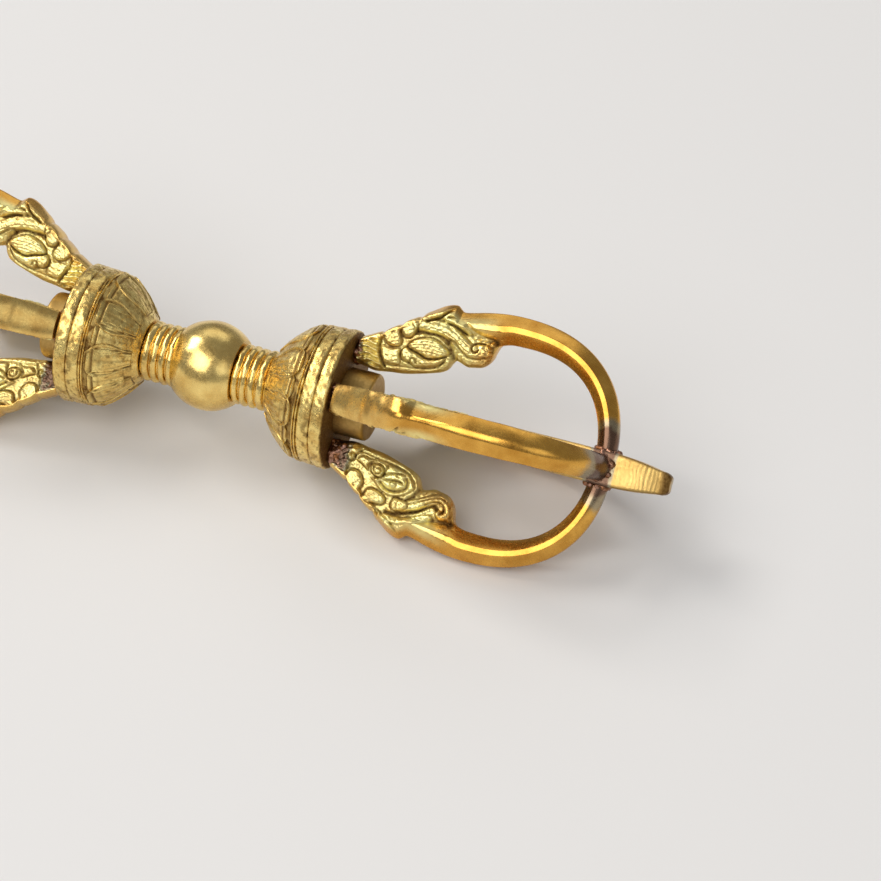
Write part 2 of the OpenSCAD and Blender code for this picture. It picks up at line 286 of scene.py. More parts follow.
def line_share(x, r, line):
    """Signed distance to a drawn line, and the share of its length at the nearest point."""
    best = np.full(x.shape, FAR_OFF)
    signed = np.zeros(x.shape)
    share = np.zeros(x.shape)
    steps = np.hypot(*np.diff(line, axis=0).T)
    walked = np.concatenate([[0], np.cumsum(steps)])
    for k, (first, last) in enumerate(zip(line[:-1], line[1:])):
        dx, dr = last - first
        off_x, off_r, t = segment_offset(x, r, first, last)
        d = np.hypot(off_x, off_r)
        near = d < best
        best = np.where(near, d, best)
        signed = np.where(near, np.where(dx * off_r - dr * off_x >= 0, d, -d), signed)
        share = np.where(near, (walked[k] + t * steps[k]) / walked[-1], share)
    return signed, share


def within(x, r, outline):
    """True for each point inside a closed drawn outline."""
    hit = np.zeros(x.shape, bool)
    for (ax, ar), (bx, br) in zip(outline[:-1], outline[1:]):
        crosses = (ar > r) != (br > r)
        hit ^= crosses & (x < (bx - ax) * (r - ar) / (br - ar + TINY) + ax)
    return hit


def blurred(field, cells):
    """Mean of a grid over a square window, with its edges repeated."""
    window = 2 * cells + 1
    for axis in (0, 1):
        pad = [(cells, cells) if k == axis else (0, 0) for k in (0, 1)]
        total = np.cumsum(np.pad(field, pad, mode="edge"), axis=axis)
        total = np.insert(total, 0, 0, axis=axis)
        high = np.take(total, range(window, total.shape[axis]), axis=axis)
        low = np.take(total, range(0, total.shape[axis] - window), axis=axis)
        field = (high - low) / window
    return field


# Mesh helpers

SHARP_EDGE = math.radians(38)


def make_mesh(name, points, faces, material, attributes=None, sharp=SHARP_EDGE):
    """A closed mesh from points in millimetres, turned so that its faces point outwards."""
    points = np.asarray(points, float)
    quads = np.array([f for f in faces if len(f) == 4]).reshape(-1, 4)
    tris = np.array([f for f in faces if len(f) == 3]).reshape(-1, 3)
    solid = np.vstack([tris, quads[:, [0, 1, 2]], quads[:, [0, 2, 3]]]).astype(int)
    a, b, c = (points[solid[:, k]] for k in range(3))
    if np.einsum("ij,ij->i", a, np.cross(b, c)).sum() < 0:
        faces = [tuple(reversed(f)) for f in faces]
    mesh = bpy.data.meshes.new(name)
    mesh.from_pydata((points * MM).tolist(), [], faces)
    mesh.materials.append(material)
    mesh.shade_smooth()
    mesh.set_sharp_from_angle(angle=sharp)
    for key, values in (attributes or {}).items():
        layer = mesh.attributes.new(key, "FLOAT", "POINT")
        layer.data.foreach_set("value", np.asarray(values, np.float32))
    mesh.update()
    return mesh


def ring_faces(rings, count, closed=False):
    """Quads between rings of points that run round a piece."""
    i = np.arange(rings if closed else rings - 1)[:, None]
    k = np.arange(count)[None, :]
    after = (k + 1) % count
    up = (i + 1) % rings
    quads = np.stack([i * count + k, i * count + after, up * count + after, up * count + k], axis=-1)
    return quads.reshape(-1, 4).tolist()


def loft(rings):
    """Points and faces of a closed solid through rings, with a fan on both ends."""
    rings = np.asarray(rings)
    n, count = rings.shape[:2]
    points = np.vstack([rings.reshape(-1, 3), rings[0].mean(0), rings[-1].mean(0)])
    faces = ring_faces(n, count)
    first, last, base = n * count, n * count + 1, (n - 1) * count
    for k in range(count):
        after = (k + 1) % count
        faces.append([first, after, k])
        faces.append([last, base + k, base + after])
    return points, faces


def dense(outline, step):
    """An outline with points no further apart than step."""
    p = np.asarray(outline, float)
    parts = []
    for a, b in zip(p, np.roll(p, -1, axis=0)):
        n = max(1, math.ceil(np.hypot(*(b - a)) / step))
        parts.append(a + (b - a) * np.linspace(0, 1, n, endpoint=False)[:, None])
    return np.vstack(parts)


def round_axis(x, r, theta):
    """Points at stations along X, at radii and angles from the top."""
    return np.stack([x, -r * np.sin(theta), r * np.cos(theta)], axis=-1)


def turned(outline, steps, relief=None):
    """Points and faces of a ring turned about X from a closed outline of [x, radius] points."""
    p = np.asarray(outline, float)
    angle = np.linspace(0, 2 * math.pi, steps, endpoint=False)
    x = np.repeat(p[:, :1], steps, axis=1)
    r = np.repeat(p[:, 1:], steps, axis=1)
    theta = np.broadcast_to(angle, x.shape)
    points = round_axis(x, r, theta)
    if relief:
        points = round_axis(x, r + relief(points, x, r), theta)
    return points.reshape(-1, 3), ring_faces(len(p), steps, closed=True)


def bulge(x0, x1, r0, r1, rise, steps, power=2):
    """A ring from one station and radius to the next, round or with a flat top."""
    t = np.linspace(0, 1, steps)
    return [[x0 + (x1 - x0) * k, r0 + (r1 - r0) * k + rise * (1 - abs(2 * k - 1) ** power)] for k in t]


def placed(points, angle=0, side=1):
    """Points of a right-hand piece turned about the axis and carried to one end."""
    c, s = math.cos(math.radians(angle)), math.sin(math.radians(angle))
    x, y, z = np.asarray(points).T
    return np.stack([side * x, y * c - z * s, y * s + z * c], axis=1)


def add_piece(name, mesh, slot, *nodes):
    """Puts a finished mesh in the scene in place of its solids, if it stands for any."""
    piece = bpy.data.objects.new(name, mesh)
    bpy.context.scene.collection.objects.link(piece)
    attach(piece, BODY)
    if nodes:
        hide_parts(*nodes)


# Node helpers

VALUE = "NodeSocketFloat"
WHOLE = "NodeSocketInt"
COLOUR = "NodeSocketColor"
VECTOR = "NodeSocketVector"


def add_node(tree, kind, place=(0, 0), settings=None, **values):
    """The outputs of a new node; inputs, by name or as i0, i1 and so on, take a value or another output."""
    node = tree.nodes.new(kind)
    node.location = place
    for key, value in (settings or {}).items():
        setattr(node, key, value)
    for key, value in values.items():
        numbered = key[0] == "i" and key[1:].isdigit()
        socket = node.inputs[int(key[1:]) if numbered else key.replace("_", " ")]
        if isinstance(value, bpy.types.NodeSocket):
            tree.links.new(value, socket)
        else:
            socket.default_value = value
    return node.outputs


def add_math(tree, operation, place, *operands):
    """The result of a math node."""
    values = {f"i{k}": operand for k, operand in enumerate(operands)}
    return add_node(tree, "ShaderNodeMath", place, {"operation": operation}, **values)[0]


def add_range(tree, place, value, low, high, to_low=0.0, to_high=1.0, kind="LINEAR"):
    """A value carried from one range to another."""
    values = {"i0": value, "i1": low, "i2": high, "i3": to_low, "i4": to_high}
    return add_node(tree, "ShaderNodeMapRange", place, {"interpolation_type": kind}, **values)[0]


def add_mix(tree, place, factor, first, second):
    """Two colours mixed by a factor; the node keeps its colours in inputs 6 and 7 and in output 2."""
    return add_node(tree, "ShaderNodeMix", place, {"data_type": "RGBA"}, i0=factor, i6=first, i7=second)[2]


def add_attribute(tree, name, place):
    """The value that a mesh carries under a name."""
    return add_node(tree, "ShaderNodeAttribute", place, {"attribute_name": name})["Fac"]


def new_group(name, inputs, outputs):
    """An empty shader group with its sockets, or None if it is there already."""
    if name in bpy.data.node_groups:
        return None
    group = bpy.data.node_groups.new(name, "ShaderNodeTree")
    for label, kind, default in inputs:
        socket = group.interface.new_socket(label, in_out="INPUT", socket_type=kind)
        if default is not None:
            socket.default_value = default
    for label, kind in outputs:
        group.interface.new_socket(label, in_out="OUTPUT", socket_type=kind)
    return group


def hand_finish_group():
    """Uneven hand polish: broad shade, fine grain and a height for the bump."""
    group = new_group(
        "hand_finish",
        [("Vector", VECTOR, None), ("Size", VALUE, 600.0), ("Grain", VALUE, 0.5)],
        [("Shade", VALUE), ("Grain", VALUE), ("Height", VALUE)],
    )
    if group is None:
        return
    noise = "ShaderNodeTexNoise"
    enter = add_node(group, "NodeGroupInput", (-900, 0))
    at = enter["Vector"]
    broad = add_node(group, noise, (-600, 200), Vector=at, Scale=enter["Size"], Detail=3.0, Roughness=0.55)
    size_up = add_math(group, "MULTIPLY", (-760, -180), enter["Size"], 9.0)
    fine = add_node(group, noise, (-560, -180), Vector=at, Scale=size_up, Detail=4.0, Roughness=0.6)
    centre = add_math(group, "SUBTRACT", (-340, -180), fine["Fac"], 0.5)
    weigh = add_math(group, "MULTIPLY", (-160, -180), centre, enter["Grain"])
    total = add_math(group, "ADD", (60, -60), broad["Fac"], weigh)
    add_node(group, "NodeGroupOutput", (500, 0), Shade=broad["Fac"], Grain=fine["Fac"], Height=total)


def patina_and_painted_shade_group():
    """Brown by a value that a mesh carries: patina in hollows, and painted shade on the bosses and the
    bulbs' end faces; broken up by grain.
    """
    group = new_group(
        "patina_and_painted_shade",
        [("Metal", COLOUR, None), ("Patina", COLOUR, None), ("Crevice", VALUE, 0.0), ("Grain", VALUE, 0.5)],
        [("Color", COLOUR), ("Mask", VALUE)],
    )
    if group is None:
        return
    enter = add_node(group, "NodeGroupInput", (-800, 0))
    broken = add_range(group, (-560, -160), enter["Grain"], 0.25, 0.75, 0.65, 1.25)
    clamped = {"operation": "MULTIPLY", "use_clamp": True}
    grown = add_node(group, "ShaderNodeMath", (-240, -60), clamped, i0=enter["Crevice"], i1=broken)[0]
    mix = add_mix(group, (120, 60), grown, enter["Metal"], enter["Patina"])
    add_node(group, "NodeGroupOutput", (500, 0), Color=mix, Mask=grown)


def heat_tint_group():
    """Colours that heat leaves beside a brazed joint: grey at first, dark brown close by."""
    group = new_group(
        "heat_tint",
        [
            ("Metal", COLOUR, None), ("Tint", COLOUR, None), ("Joint", COLOUR, None),
            ("Heat", VALUE, 0.0), ("Grain", VALUE, 0.5),
        ],
        [("Color", COLOUR)],
    )
    if group is None:
        return
    enter = add_node(group, "NodeGroupInput", (-800, 0))
    uneven = add_range(group, (-600, -160), enter["Grain"], 0.3, 0.7, -0.2, 0.2)
    felt = add_math(group, "ADD", (-400, -60), enter["Heat"], uneven)
    far = add_range(group, (-200, 120), felt, 0.18, 0.55, 0.0, 0.85, "SMOOTHSTEP")
    near = add_range(group, (-200, -160), felt, 0.62, 0.9, 0.0, 0.92, "SMOOTHSTEP")
    grey = add_mix(group, (60, 160), far, enter["Metal"], enter["Tint"])
    brown = add_mix(group, (280, 100), near, grey, enter["Joint"])
    add_node(group, "NodeGroupOutput", (600, 0), Color=brown)


def file_marks_group():
    """Fine uneven scratches across the axis, as a height."""
    group = new_group("file_marks", [("Vector", VECTOR, None), ("Size", VALUE, 900.0)], [("Height", VALUE)])
    if group is None:
        return
    enter = add_node(group, "NodeGroupInput", (-600, 0))
    squeeze = (3.0, 0.12, 0.12)
    stretch = add_node(group, "ShaderNodeMapping", (-400, 0), Vector=enter["Vector"], Scale=squeeze)
    cut = {"Vector": stretch[0], "Scale": enter["Size"], "Detail": 3.0, "Roughness": 0.7}
    streaks = add_node(group, "ShaderNodeTexNoise", (-160, 0), **cut)
    add_node(group, "NodeGroupOutput", (300, 0), Height=streaks["Fac"])


def use_group(tree, name, place, **values):
    """The outputs of a shader group."""
    return add_node(tree, "ShaderNodeGroup", place, {"node_tree": bpy.data.node_groups[name]}, **values)


# How fast red, green and blue fade in the dull spots of the polish
AMBER_LOSS = (1.0, 1.6, 2.4)
# Carved parts are rougher, and the smooth parts beside them keep a share of the bump
CARVED_DULL = 1.45
SMOOTH_BUMP = 0.2
# Roughness where the patina and the painted shade are full
PATINA_AND_SHADE_ROUGH = 0.6
BUMP_DISTANCE = 0.00012


def uneven_colour(tree, tone, spots, shade, place):
    """A colour that the broad shade of the polish makes duller and brighter."""
    dull = [c * (1 - spots * w) for c, w in zip(tone[:3], AMBER_LOSS)] + [1]
    bright = [min(1, c * (1 + spots)) for c in tone[:3]] + [1]
    return add_mix(tree, place, shade, dull, bright)


def metal_roughness(tree, rough, grain, patina_shade_tint, carved):
    """Roughness that varies with the grain and rises in the patina, in the painted shade and on carved
    parts.
    """
    vary = add_range(tree, (-640, -80), grain, 0.3, 0.7, rough * 0.75, rough * 1.3)
    rough_in_patina_and_shade = add_range(tree, (-420, -80), patina_shade_tint, 0.0, 1.0, vary, PATINA_AND_SHADE_ROUGH)
    if carved is None:
        return rough_in_patina_and_shade
    soften = add_range(tree, (-420, -260), carved, 0.0, 1.0, 1.0, CARVED_DULL)
    return add_math(tree, "MULTIPLY", (-200, -120), rough_in_patina_and_shade, soften)


def metal_normal(tree, bump, file_size, place, height, carved):
    """Normal from the height of the polish, and from file marks where there are any."""
    if file_size:
        marks = use_group(tree, "file_marks", (-900, -420), Vector=place, Size=file_size)
        height = add_math(tree, "ADD", (-620, -420), marks["Height"], height)
    if carved is not None:
        bump = add_range(tree, (-520, -600), carved, 0.0, 1.0, bump * SMOOTH_BUMP, bump)
    press = {"Strength": bump, "Distance": BUMP_DISTANCE, "Height": height}
    return add_node(tree, "ShaderNodeBump", (-300, -420), **press)[0]


def brass(name, colour, polish, rough, grain, bump, carved_colour=None, file_size=0.0, spots=0.12):
    """Brass with hand polish, patina with painted shade, and heat tint; carved parts may have a colour of
    their own.
    """
    if name in bpy.data.materials:
        return bpy.data.materials[name]
    for build in (hand_finish_group, patina_and_painted_shade_group, heat_tint_group, file_marks_group):
        build()
    finish = bpy.context.scene.vajra_finish
    material = bpy.data.materials.new(name)
    material.use_nodes = True
    tree = material.node_tree
    place = add_node(tree, "ShaderNodeTexCoord", (-1700, 0))["Object"]
    hand = use_group(tree, "hand_finish", (-1450, 100), Vector=place, Size=polish, Grain=grain)
    shade = add_range(tree, (-1220, 280), hand["Shade"], 0.3, 0.7)
    metal = uneven_colour(tree, colour, spots, shade, (-1000, 280))
    carved = None
    if carved_colour is not None:
        carved = add_attribute(tree, "carved", (-1220, 620))
        other = uneven_colour(tree, carved_colour, spots, shade, (-1000, 520))
        metal = add_mix(tree, (-820, 420), carved, metal, other)
    # Patina in the hollows, and painted shade on the bosses and the bulbs' end faces, from the value each
    # mesh carries
    patina_shade_tint = use_group(
        tree, "patina_and_painted_shade", (-640, 180), Metal=metal, Patina=finish.patina,
        Crevice=add_attribute(tree, "crevice", (-1700, -280)), Grain=hand["Grain"],
    )
    burnt = use_group(
        tree, "heat_tint", (-420, 240), Metal=patina_shade_tint["Color"], Tint=finish.tint, Joint=finish.fire_scale,
        Heat=add_attribute(tree, "joint_heat", (-1700, -460)), Grain=hand["Shade"],
    )
    shader = tree.nodes["Principled BSDF"].inputs
    shader["Metallic"].default_value = 1.0
    tree.links.new(burnt["Color"], shader["Base Color"])
    dull = metal_roughness(tree, rough, hand["Grain"], patina_shade_tint["Mask"], carved)
    tree.links.new(dull, shader["Roughness"])
    normal = metal_normal(tree, bump, file_size, place, hand["Height"], carved)
    tree.links.new(normal, shader["Normal"])
    return material


def grip_brass():
    """Polished cast brass of the globe and the collars."""
    finish = bpy.context.scene.vajra_finish
    return brass("grip_finish", finish.grip, polish=330.0, rough=0.25, grain=0.25, bump=0.35, spots=0.16)


def lotus_brass():
    """Cast brass of the bulbs, with a finer and deeper grain."""
    finish = bpy.context.scene.vajra_finish
    return brass("lotus_finish", finish.grip, polish=650.0, rough=0.25, grain=0.4, bump=0.8, spots=0.2)


def prong_brass():
    """Amber blades and bright carved heads of the outer prongs."""
    finish = bpy.context.scene.vajra_finish
    return brass(
        "prong_finish", finish.blade, polish=330.0, rough=0.25, grain=0.3, bump=0.4,
        carved_colour=finish.head, spots=0.18,
    )


def bar_brass():
    """Filed brass of the bosses, the central prongs and the core rod."""
    finish = bpy.context.scene.vajra_finish
    return brass("bar_finish", finish.bar, polish=300.0, rough=0.34, grain=0.3, bump=0.22, file_size=500.0)


def braze_metal():
    """Dark uneven braze."""
    finish = bpy.context.scene.vajra_finish
    return brass("braze_finish", finish.braze, polish=900.0, rough=0.3, grain=0.6, bump=0.6, spots=0.35)


# Carving of a prong's head: lines and outlines as [distance along the axis, radius] points

HEAD_END = 40.55
OUTER_EDGE = [
    [19.5, 8.95], [20, 9.2], [22, 10.3], [24, 11.65], [25, 12.45], [26, 13.1], [27, 13.9], [28, 14.6],
    [29, 15.3], [30, 15.75], [30.8, 15.85], [31.2, 15.6], [31.6, 15.3], [32, 15.2], [33, 15.4],
    [35, 15.9], [37, 16.25], [39, 16.42], [40.55, 16.435],
]
INNER_EDGE = [
    [19.5, 5.2], [20.5, 5.1], [22, 4.85], [24, 5.15], [26, 5.4], [28, 5.9], [30, 6.5], [31, 6.9],
    [31.6, 7.4], [32, 8.2], [32.4, 8.7], [33, 8.6], [34, 8.3], [35, 8.45], [36, 8.7], [36.7, 9.3],
    [37.1, 10], [37.35, 11], [37.6, 11.8], [38, 12.15], [39, 12.46], [40, 12.555], [40.55, 12.565],
]
PLATE_TOP = [
    [19.5, 8.95], [26, 13.05], [28, 14.5], [29.5, 15.2], [31, 14.9], [32, 14.1], [34, 13.1], [36, 12.5],
    [38.2, 12.0],
]
PLATE_HALF = [
    [19.5, 1.65], [22, 1.8], [25, 1.75], [29, 1.75], [32, 1.6], [35, 1.45], [36.8, 1.25], [37.6, 0.9],
    [38.2, 0.2],
]
BLADE_INNER = [
    [19.5, 11.5], [28, 12.6], [31, 12.1], [33, 11.9], [35, 11.85], [37.6, 12.05], [39, 12.46],
    [40, 12.555], [40.55, 12.565],
]
BLADE_HALF = [[26, 0.3], [28, 1.7], [30, 2.1], [33, 2.2], [36, 2.26], [40.55, 2.26]]
BACK_DEPTH = [[19.5, 1.0], [24, 0.9], [28, 1.0], [30.5, 1.2], [32.5, 1.75], [40.55, 1.9]]
BACK_HALF = [[19.5, 2.05], [21, 2.25], [24, 2.45], [28, 2.4], [33, 2.3], [40.55, 2.3]]
SIDE_LIMIT = [[19.5, 2.05], [21, 2.3], [24, 2.45], [29, 2.45], [33, 2.45], [40.55, 2.6]]
BACK_RISE = [[19.5, 0.4], [24, 0.55], [27, 0.55], [30, 0.25], [33, 0.0]]

SCALE_ENDS = (22.25, 24.45, 26.65)
MANE = [
    [19.3, 9.2], [20.6, 9.9], [22.1, 10.6], [22.2, 9.4], [22.15, 8.2], [22.5, 7.1], [23.2, 5.6],
    [22, 4.8], [20.6, 5.2], [19.3, 5.3],
]
SHOULDER_SCALE = [
    [22.25, 10.8], [22.35, 9.5], [22.9, 8.8], [23.6, 8.5], [24.3, 8.5], [24.9, 8.85], [25.0, 9.6],
    [24.5, 10.7], [24.3, 12], [23, 11.6],
]
NAPE_SCALE = [
    [24.3, 12.4], [24.5, 10.8], [25.0, 10.15], [25.7, 10.05], [26.3, 10.5], [26.7, 11.5], [26.5, 13.6],
    [25.4, 13.1],
]
CREST = [
    [26.5, 13.3], [27.2, 12.7], [28.2, 13.15], [29.4, 13.8], [30.2, 14.6], [30.85, 15.3], [31.1, 16.1],
    [30, 16.3], [28.5, 15.6], [27, 14.6],
]
CREST_SLIT = [[27.7, 12.85], [28.5, 13.2], [29.3, 13.7], [29.8, 14.3], [30.3, 14.8], [30.8, 15.3]]
BLADE_FOOT = [
    [30.4, 13.95], [31.5, 14.05], [32.6, 14.0], [33.5, 13.35], [34.3, 12.95], [35.5, 12.7], [36.8, 12.55],
]
JAW_LINE = [[23.3, 5.85], [24.6, 6.0], [26, 6.25], [27.5, 6.4], [29, 6.7], [30.2, 7.2], [31.1, 8.1]]
NOTCH = [[31.0, 10.6], [31.6, 9.9], [32.0, 9.2], [32.4, 8.5]]

FAR_CHEEK = [
    [25.9, 8.9], [26.2, 9.7], [27.2, 10.4], [28.5, 10.85], [29.6, 10.75], [30.7, 10.25], [31.6, 9.5],
    [31.2, 8.9], [30.2, 8.4], [29.2, 8.1], [28.6, 8.05], [28.1, 8.2], [27.6, 8.4], [26.7, 8.6],
]
FAR_JAW = [
    [25.2, 7.8], [25.35, 8.5], [25.9, 8.9], [26.7, 8.55], [27.6, 8.35], [28.1, 8.15], [28.6, 8.0],
    [29.2, 8.05], [30.2, 8.3], [31.2, 8.8], [30.8, 7.9], [30, 7.2], [28.8, 6.8], [27.4, 6.55],
    [26.5, 6.9], [25.6, 7.1],
]
FAR_CURL = [[26.6, 6.95], [26.75, 7.5], [27.05, 7.65], [27.35, 7.5], [27.5, 7.05]]
FAR_TRUNK = [
    [26.8, 12.35], [28, 12.35], [29.3, 12.35], [30.5, 12.2], [31.5, 11.9], [32.4, 11.35], [33.3, 10.75],
    [34.3, 10.35], [35.2, 10.3], [36.0, 10.75],
]
FAR_TRUNK_CURL = [
    [35.9, 11.7], [35.1, 11.65], [34.45, 11.3], [34.3, 10.8], [34.55, 10.4], [35.0, 10.4], [35.2, 10.75],
]
FAR_TRUNK_LOW = [[31.2, 11.15], [32.0, 10.85], [33.0, 10.05], [34.0, 9.55], [35.2, 9.5], [36.2, 9.9]]
FAR_TRUNK_UP = [
    [27.6, 12.75], [29.3, 12.75], [30.6, 12.6], [31.7, 12.25], [32.6, 11.7], [33.5, 11.1], [34.2, 10.8],
]
FAR_TRUNK_DOWN = [
    [28.4, 12.0], [29.4, 12.0], [30.6, 11.8], [31.6, 11.45], [32.5, 10.9], [33.4, 10.35], [34.3, 10.05],
]
FAR_CHEEK_MIDDLE = [[25.9, 8.9], [27.2, 9.45], [28.7, 9.7], [30.2, 9.65], [31.6, 9.5]]
FAR_BROW_LINE = [[28.2, 12.6], [29.2, 12.8], [30.3, 12.85], [31.2, 12.6]]
FAR_NOSE = [[30.3, 13.45], [31.2, 13.65], [32.0, 13.45], [32.8, 12.95], [33.6, 12.6]]
FAR_NOSE_LINE = [[30.5, 13.2], [31.4, 13.05], [32.3, 12.75], [33.2, 12.4]]
FAR_BROW_HOLLOW = [[26.7, 11.1], [27.4, 11.35], [28.3, 11.3], [29.2, 11.45], [30.1, 11.25], [31.0, 10.8]]
FAR_THROAT = [
    [22.5, 8.2], [23.4, 8.3], [24.4, 8.3], [25.0, 8.6], [25.1, 7.6], [25.4, 6.9], [25.2, 6.3],
    [24.0, 6.1], [23.3, 6.2], [22.7, 7.2],
]
MANE_EDGE = [[22.1, 10.4], [22.2, 9.3], [22.15, 8.2], [22.5, 7.1], [23.0, 6.3], [23.4, 5.6]]

NEAR_SHOULDER = [
    [22.2, 10.8], [22.1, 9.6], [22.3, 8.7], [23.1, 8.3], [24.0, 8.6], [24.5, 9.3], [24.7, 10.0],
    [24.4, 10.9], [24.1, 12], [23, 11.6],
]
NEAR_NAPE = [
    [25.0, 11.9], [25.2, 10.9], [25.5, 10.35], [26.4, 10.2], [27.4, 10.5], [28.2, 11.2], [28.0, 11.9],
    [27.0, 12.15], [26.0, 12.1],
]
NEAR_LEAF = [[23.1, 7.0], [24.0, 7.5], [24.9, 8.0], [24.9, 7.2], [25.8, 6.3], [24.8, 6.5], [23.8, 6.3]]
NEAR_CURL = [
    [25.15, 7.3], [25.35, 8.05], [25.9, 8.5], [26.6, 8.65], [27.05, 8.2], [27.05, 7.5], [26.6, 7.05],
    [25.8, 6.9],
]
NEAR_SPIRAL = [[25.6, 7.3], [25.7, 7.9], [26.2, 8.2], [26.65, 7.95], [26.6, 7.5], [26.25, 7.45]]
NEAR_CHEEK = [
    [25.6, 8.8], [26.4, 9.5], [27.4, 10.3], [28.7, 10.6], [30.0, 10.3], [31.0, 9.6], [31.6, 8.9],
    [31.2, 7.9], [30.2, 7.2], [28.8, 6.8], [27.4, 6.6], [27.2, 7.6], [26.9, 8.5],
]
NEAR_EYE_ARCH = [
    [26.9, 9.15], [27.7, 9.75], [28.7, 9.95], [29.7, 9.7], [30.4, 9.2], [30.45, 8.5], [30.2, 7.9],
]
NEAR_MOUTH = [[27.0, 8.15], [28.0, 7.75], [29.2, 7.5], [30.0, 7.45]]
NEAR_LIP = [[27.2, 8.7], [28.2, 8.6], [29.2, 8.5], [29.9, 8.65]]
NEAR_THROAT_SPIRAL = [
    [21.8, 6.9], [22.0, 7.3], [22.5, 7.35], [22.85, 6.95], [22.7, 6.45], [22.25, 6.35], [22.1, 6.65],
    [22.4, 6.85],
]
NEAR_BROW = [
    [28.95, 11.8], [29.05, 11.1], [29.3, 10.6], [30.3, 10.7], [31.3, 10.9], [31.2, 11.7], [30.4, 12.2],
    [29.6, 12.4],
]
NEAR_TRUNK = [
    [30.6, 11.5], [31.6, 11.2], [32.6, 10.75], [33.6, 10.15], [34.5, 9.6], [35.4, 9.45], [36.2, 9.9],
    [36.6, 10.6], [36.5, 11.3], [36.0, 11.6], [35.5, 11.3],
]
NEAR_TRUNK_LINE = [[31.5, 10.95], [33.0, 10.15], [34.4, 9.45], [35.3, 9.2], [36.1, 9.45]]
NEAR_TRUNK_INNER = [
    [33.6, 10.5], [34.6, 9.95], [35.4, 9.85], [35.95, 10.25], [36.05, 10.85], [35.7, 11.25],
]
NEAR_TRUNK_TOP = [
    [28.6, 12.8], [29.5, 12.8], [30.5, 12.45], [31.6, 12.05], [32.6, 11.65], [33.3, 11.15], [34.0, 10.65],
    [34.6, 10.45], [35.1, 10.8],
]
NEAR_NOSE = [[28.6, 13.4], [30.4, 13.45], [32.0, 13.05], [33.2, 12.5], [34.4, 12.1]]
NEAR_EAR = [[26.0, 12.3], [26.8, 12.6], [27.4, 12.9]]
NEAR_EAR_SLIT = [[27.95, 14.0], [27.7, 13.5], [27.35, 12.9]]

# Each side of a head: lobes as (outline, height, width of the rounded edge), bands as (line, half width at
# both ends, height), beads as (x, radius, size, height), cut lines as (line, width, depth), hatches as
# (outline, line that they follow, pitch, depth), and the depth of the mane's strands
FAR_CARVING = {
    "lobes": (
        (SHOULDER_SCALE, 0.4, 0.45), (NAPE_SCALE, 0.44, 0.45), (FAR_THROAT, 0.27, 0.4),
        (FAR_CHEEK, 0.5, 0.6), (FAR_JAW, 0.44, 0.45), (CREST, 0.4, 0.45),
    ),
    "bands": ((FAR_TRUNK, 0.95, 1.0, 0.55), (FAR_NOSE, 0.42, 0.3, 0.4)),
    "beads": (
        (36.9, 12.0, 0.42, 0.4), (36.6, 11.3, 0.4, 0.3), (36.9, 10.6, 0.3, 0.25), (27.05, 7.25, 0.3, 0.12),
    ),
    "lines": (
        (MANE_EDGE, 0.14, 0.45), (FAR_BROW_HOLLOW, 0.3, 0.4), (CREST_SLIT, 0.15, 0.6), (JAW_LINE, 0.14, 0.2),
        (NOTCH, 0.3, 0.4), (FAR_CURL, 0.08, 0.25), (FAR_TRUNK_CURL, 0.11, 0.42), (FAR_TRUNK_LOW, 0.16, 0.4),
        (FAR_BROW_LINE, 0.12, 0.14), (FAR_NOSE_LINE, 0.12, 0.3), (BLADE_FOOT, 0.2, 0.3),
        (FAR_TRUNK_UP, 0.08, 0.1), (FAR_TRUNK_DOWN, 0.08, 0.12),
    ),
    "hatches": ((FAR_CHEEK, FAR_CHEEK_MIDDLE, 0.44, 0.1),),
    "strands": 0.9,
}
NEAR_CARVING = {
    "lobes": (
        (NEAR_SHOULDER, 0.4, 0.45), (NEAR_NAPE, 0.44, 0.45), (NEAR_LEAF, 0.36, 0.35), (NEAR_CURL, 0.44, 0.4),
        (NEAR_CHEEK, 0.28, 0.4), (NEAR_BROW, 0.44, 0.4), (CREST, 0.33, 0.45),
    ),
    "bands": ((NEAR_TRUNK, 0.85, 0.5, 0.6), (NEAR_NOSE, 0.5, 0.45, 0.4), (NEAR_EAR, 0.4, 0.2, 0.3)),
    "beads": ((28.7, 9.1, 0.48, 0.42), (37.0, 11.9, 0.35, 0.3), (22.4, 6.85, 0.2, 0.2)),
    "lines": (
        (MANE_EDGE, 0.1, 0.2), (NEAR_EYE_ARCH, 0.26, 0.42), (NEAR_MOUTH, 0.12, 0.35), (NEAR_LIP, 0.13, 0.32),
        (NEAR_SPIRAL, 0.1, 0.34), (NEAR_THROAT_SPIRAL, 0.1, 0.32), (NEAR_TRUNK_TOP, 0.22, 0.5),
        (NEAR_TRUNK_LINE, 0.1, 0.28), (NEAR_TRUNK_INNER, 0.13, 0.4), (NEAR_EAR_SLIT, 0.14, 0.4),
        (JAW_LINE, 0.14, 0.2), (NOTCH, 0.25, 0.3),
    ),
    "hatches": ((NEAR_NAPE, NEAR_EAR, 0.4, 0.06),),
    "strands": 0.15,
}
# Width of the notches in the back, the mane with its swaying strands, and the soft edge of hatched parts
NOTCH_WIDTH = 0.35
MANE_RISE = 0.26
MANE_ROUND = 0.35
STRAND_PITCH = 0.82
STRAND_SWAY = 0.16
STRAND_SWAY_RATE = 2.3
HATCH_ROUND = 0.35
# A narrow cut runs round each lobe, as a share of the lobe's height
LOBE_RIM = 0.45
LOBE_RIM_WIDTH = 0.09


def edge_at(edge, x):
    """Value of a drawn edge at each station along the axis."""
    line = rounded(edge)
    return np.interp(x, line[:, 0], line[:, 1])


def outer_edge(x, notch):
    """Radius of a prong's back, with a notch between its scales."""
    cuts = sum(bell(x - place, NOTCH_WIDTH) for place in SCALE_ENDS)
    return edge_at(OUTER_EDGE, np.clip(x, 0, HEAD_END)) - notch * cuts


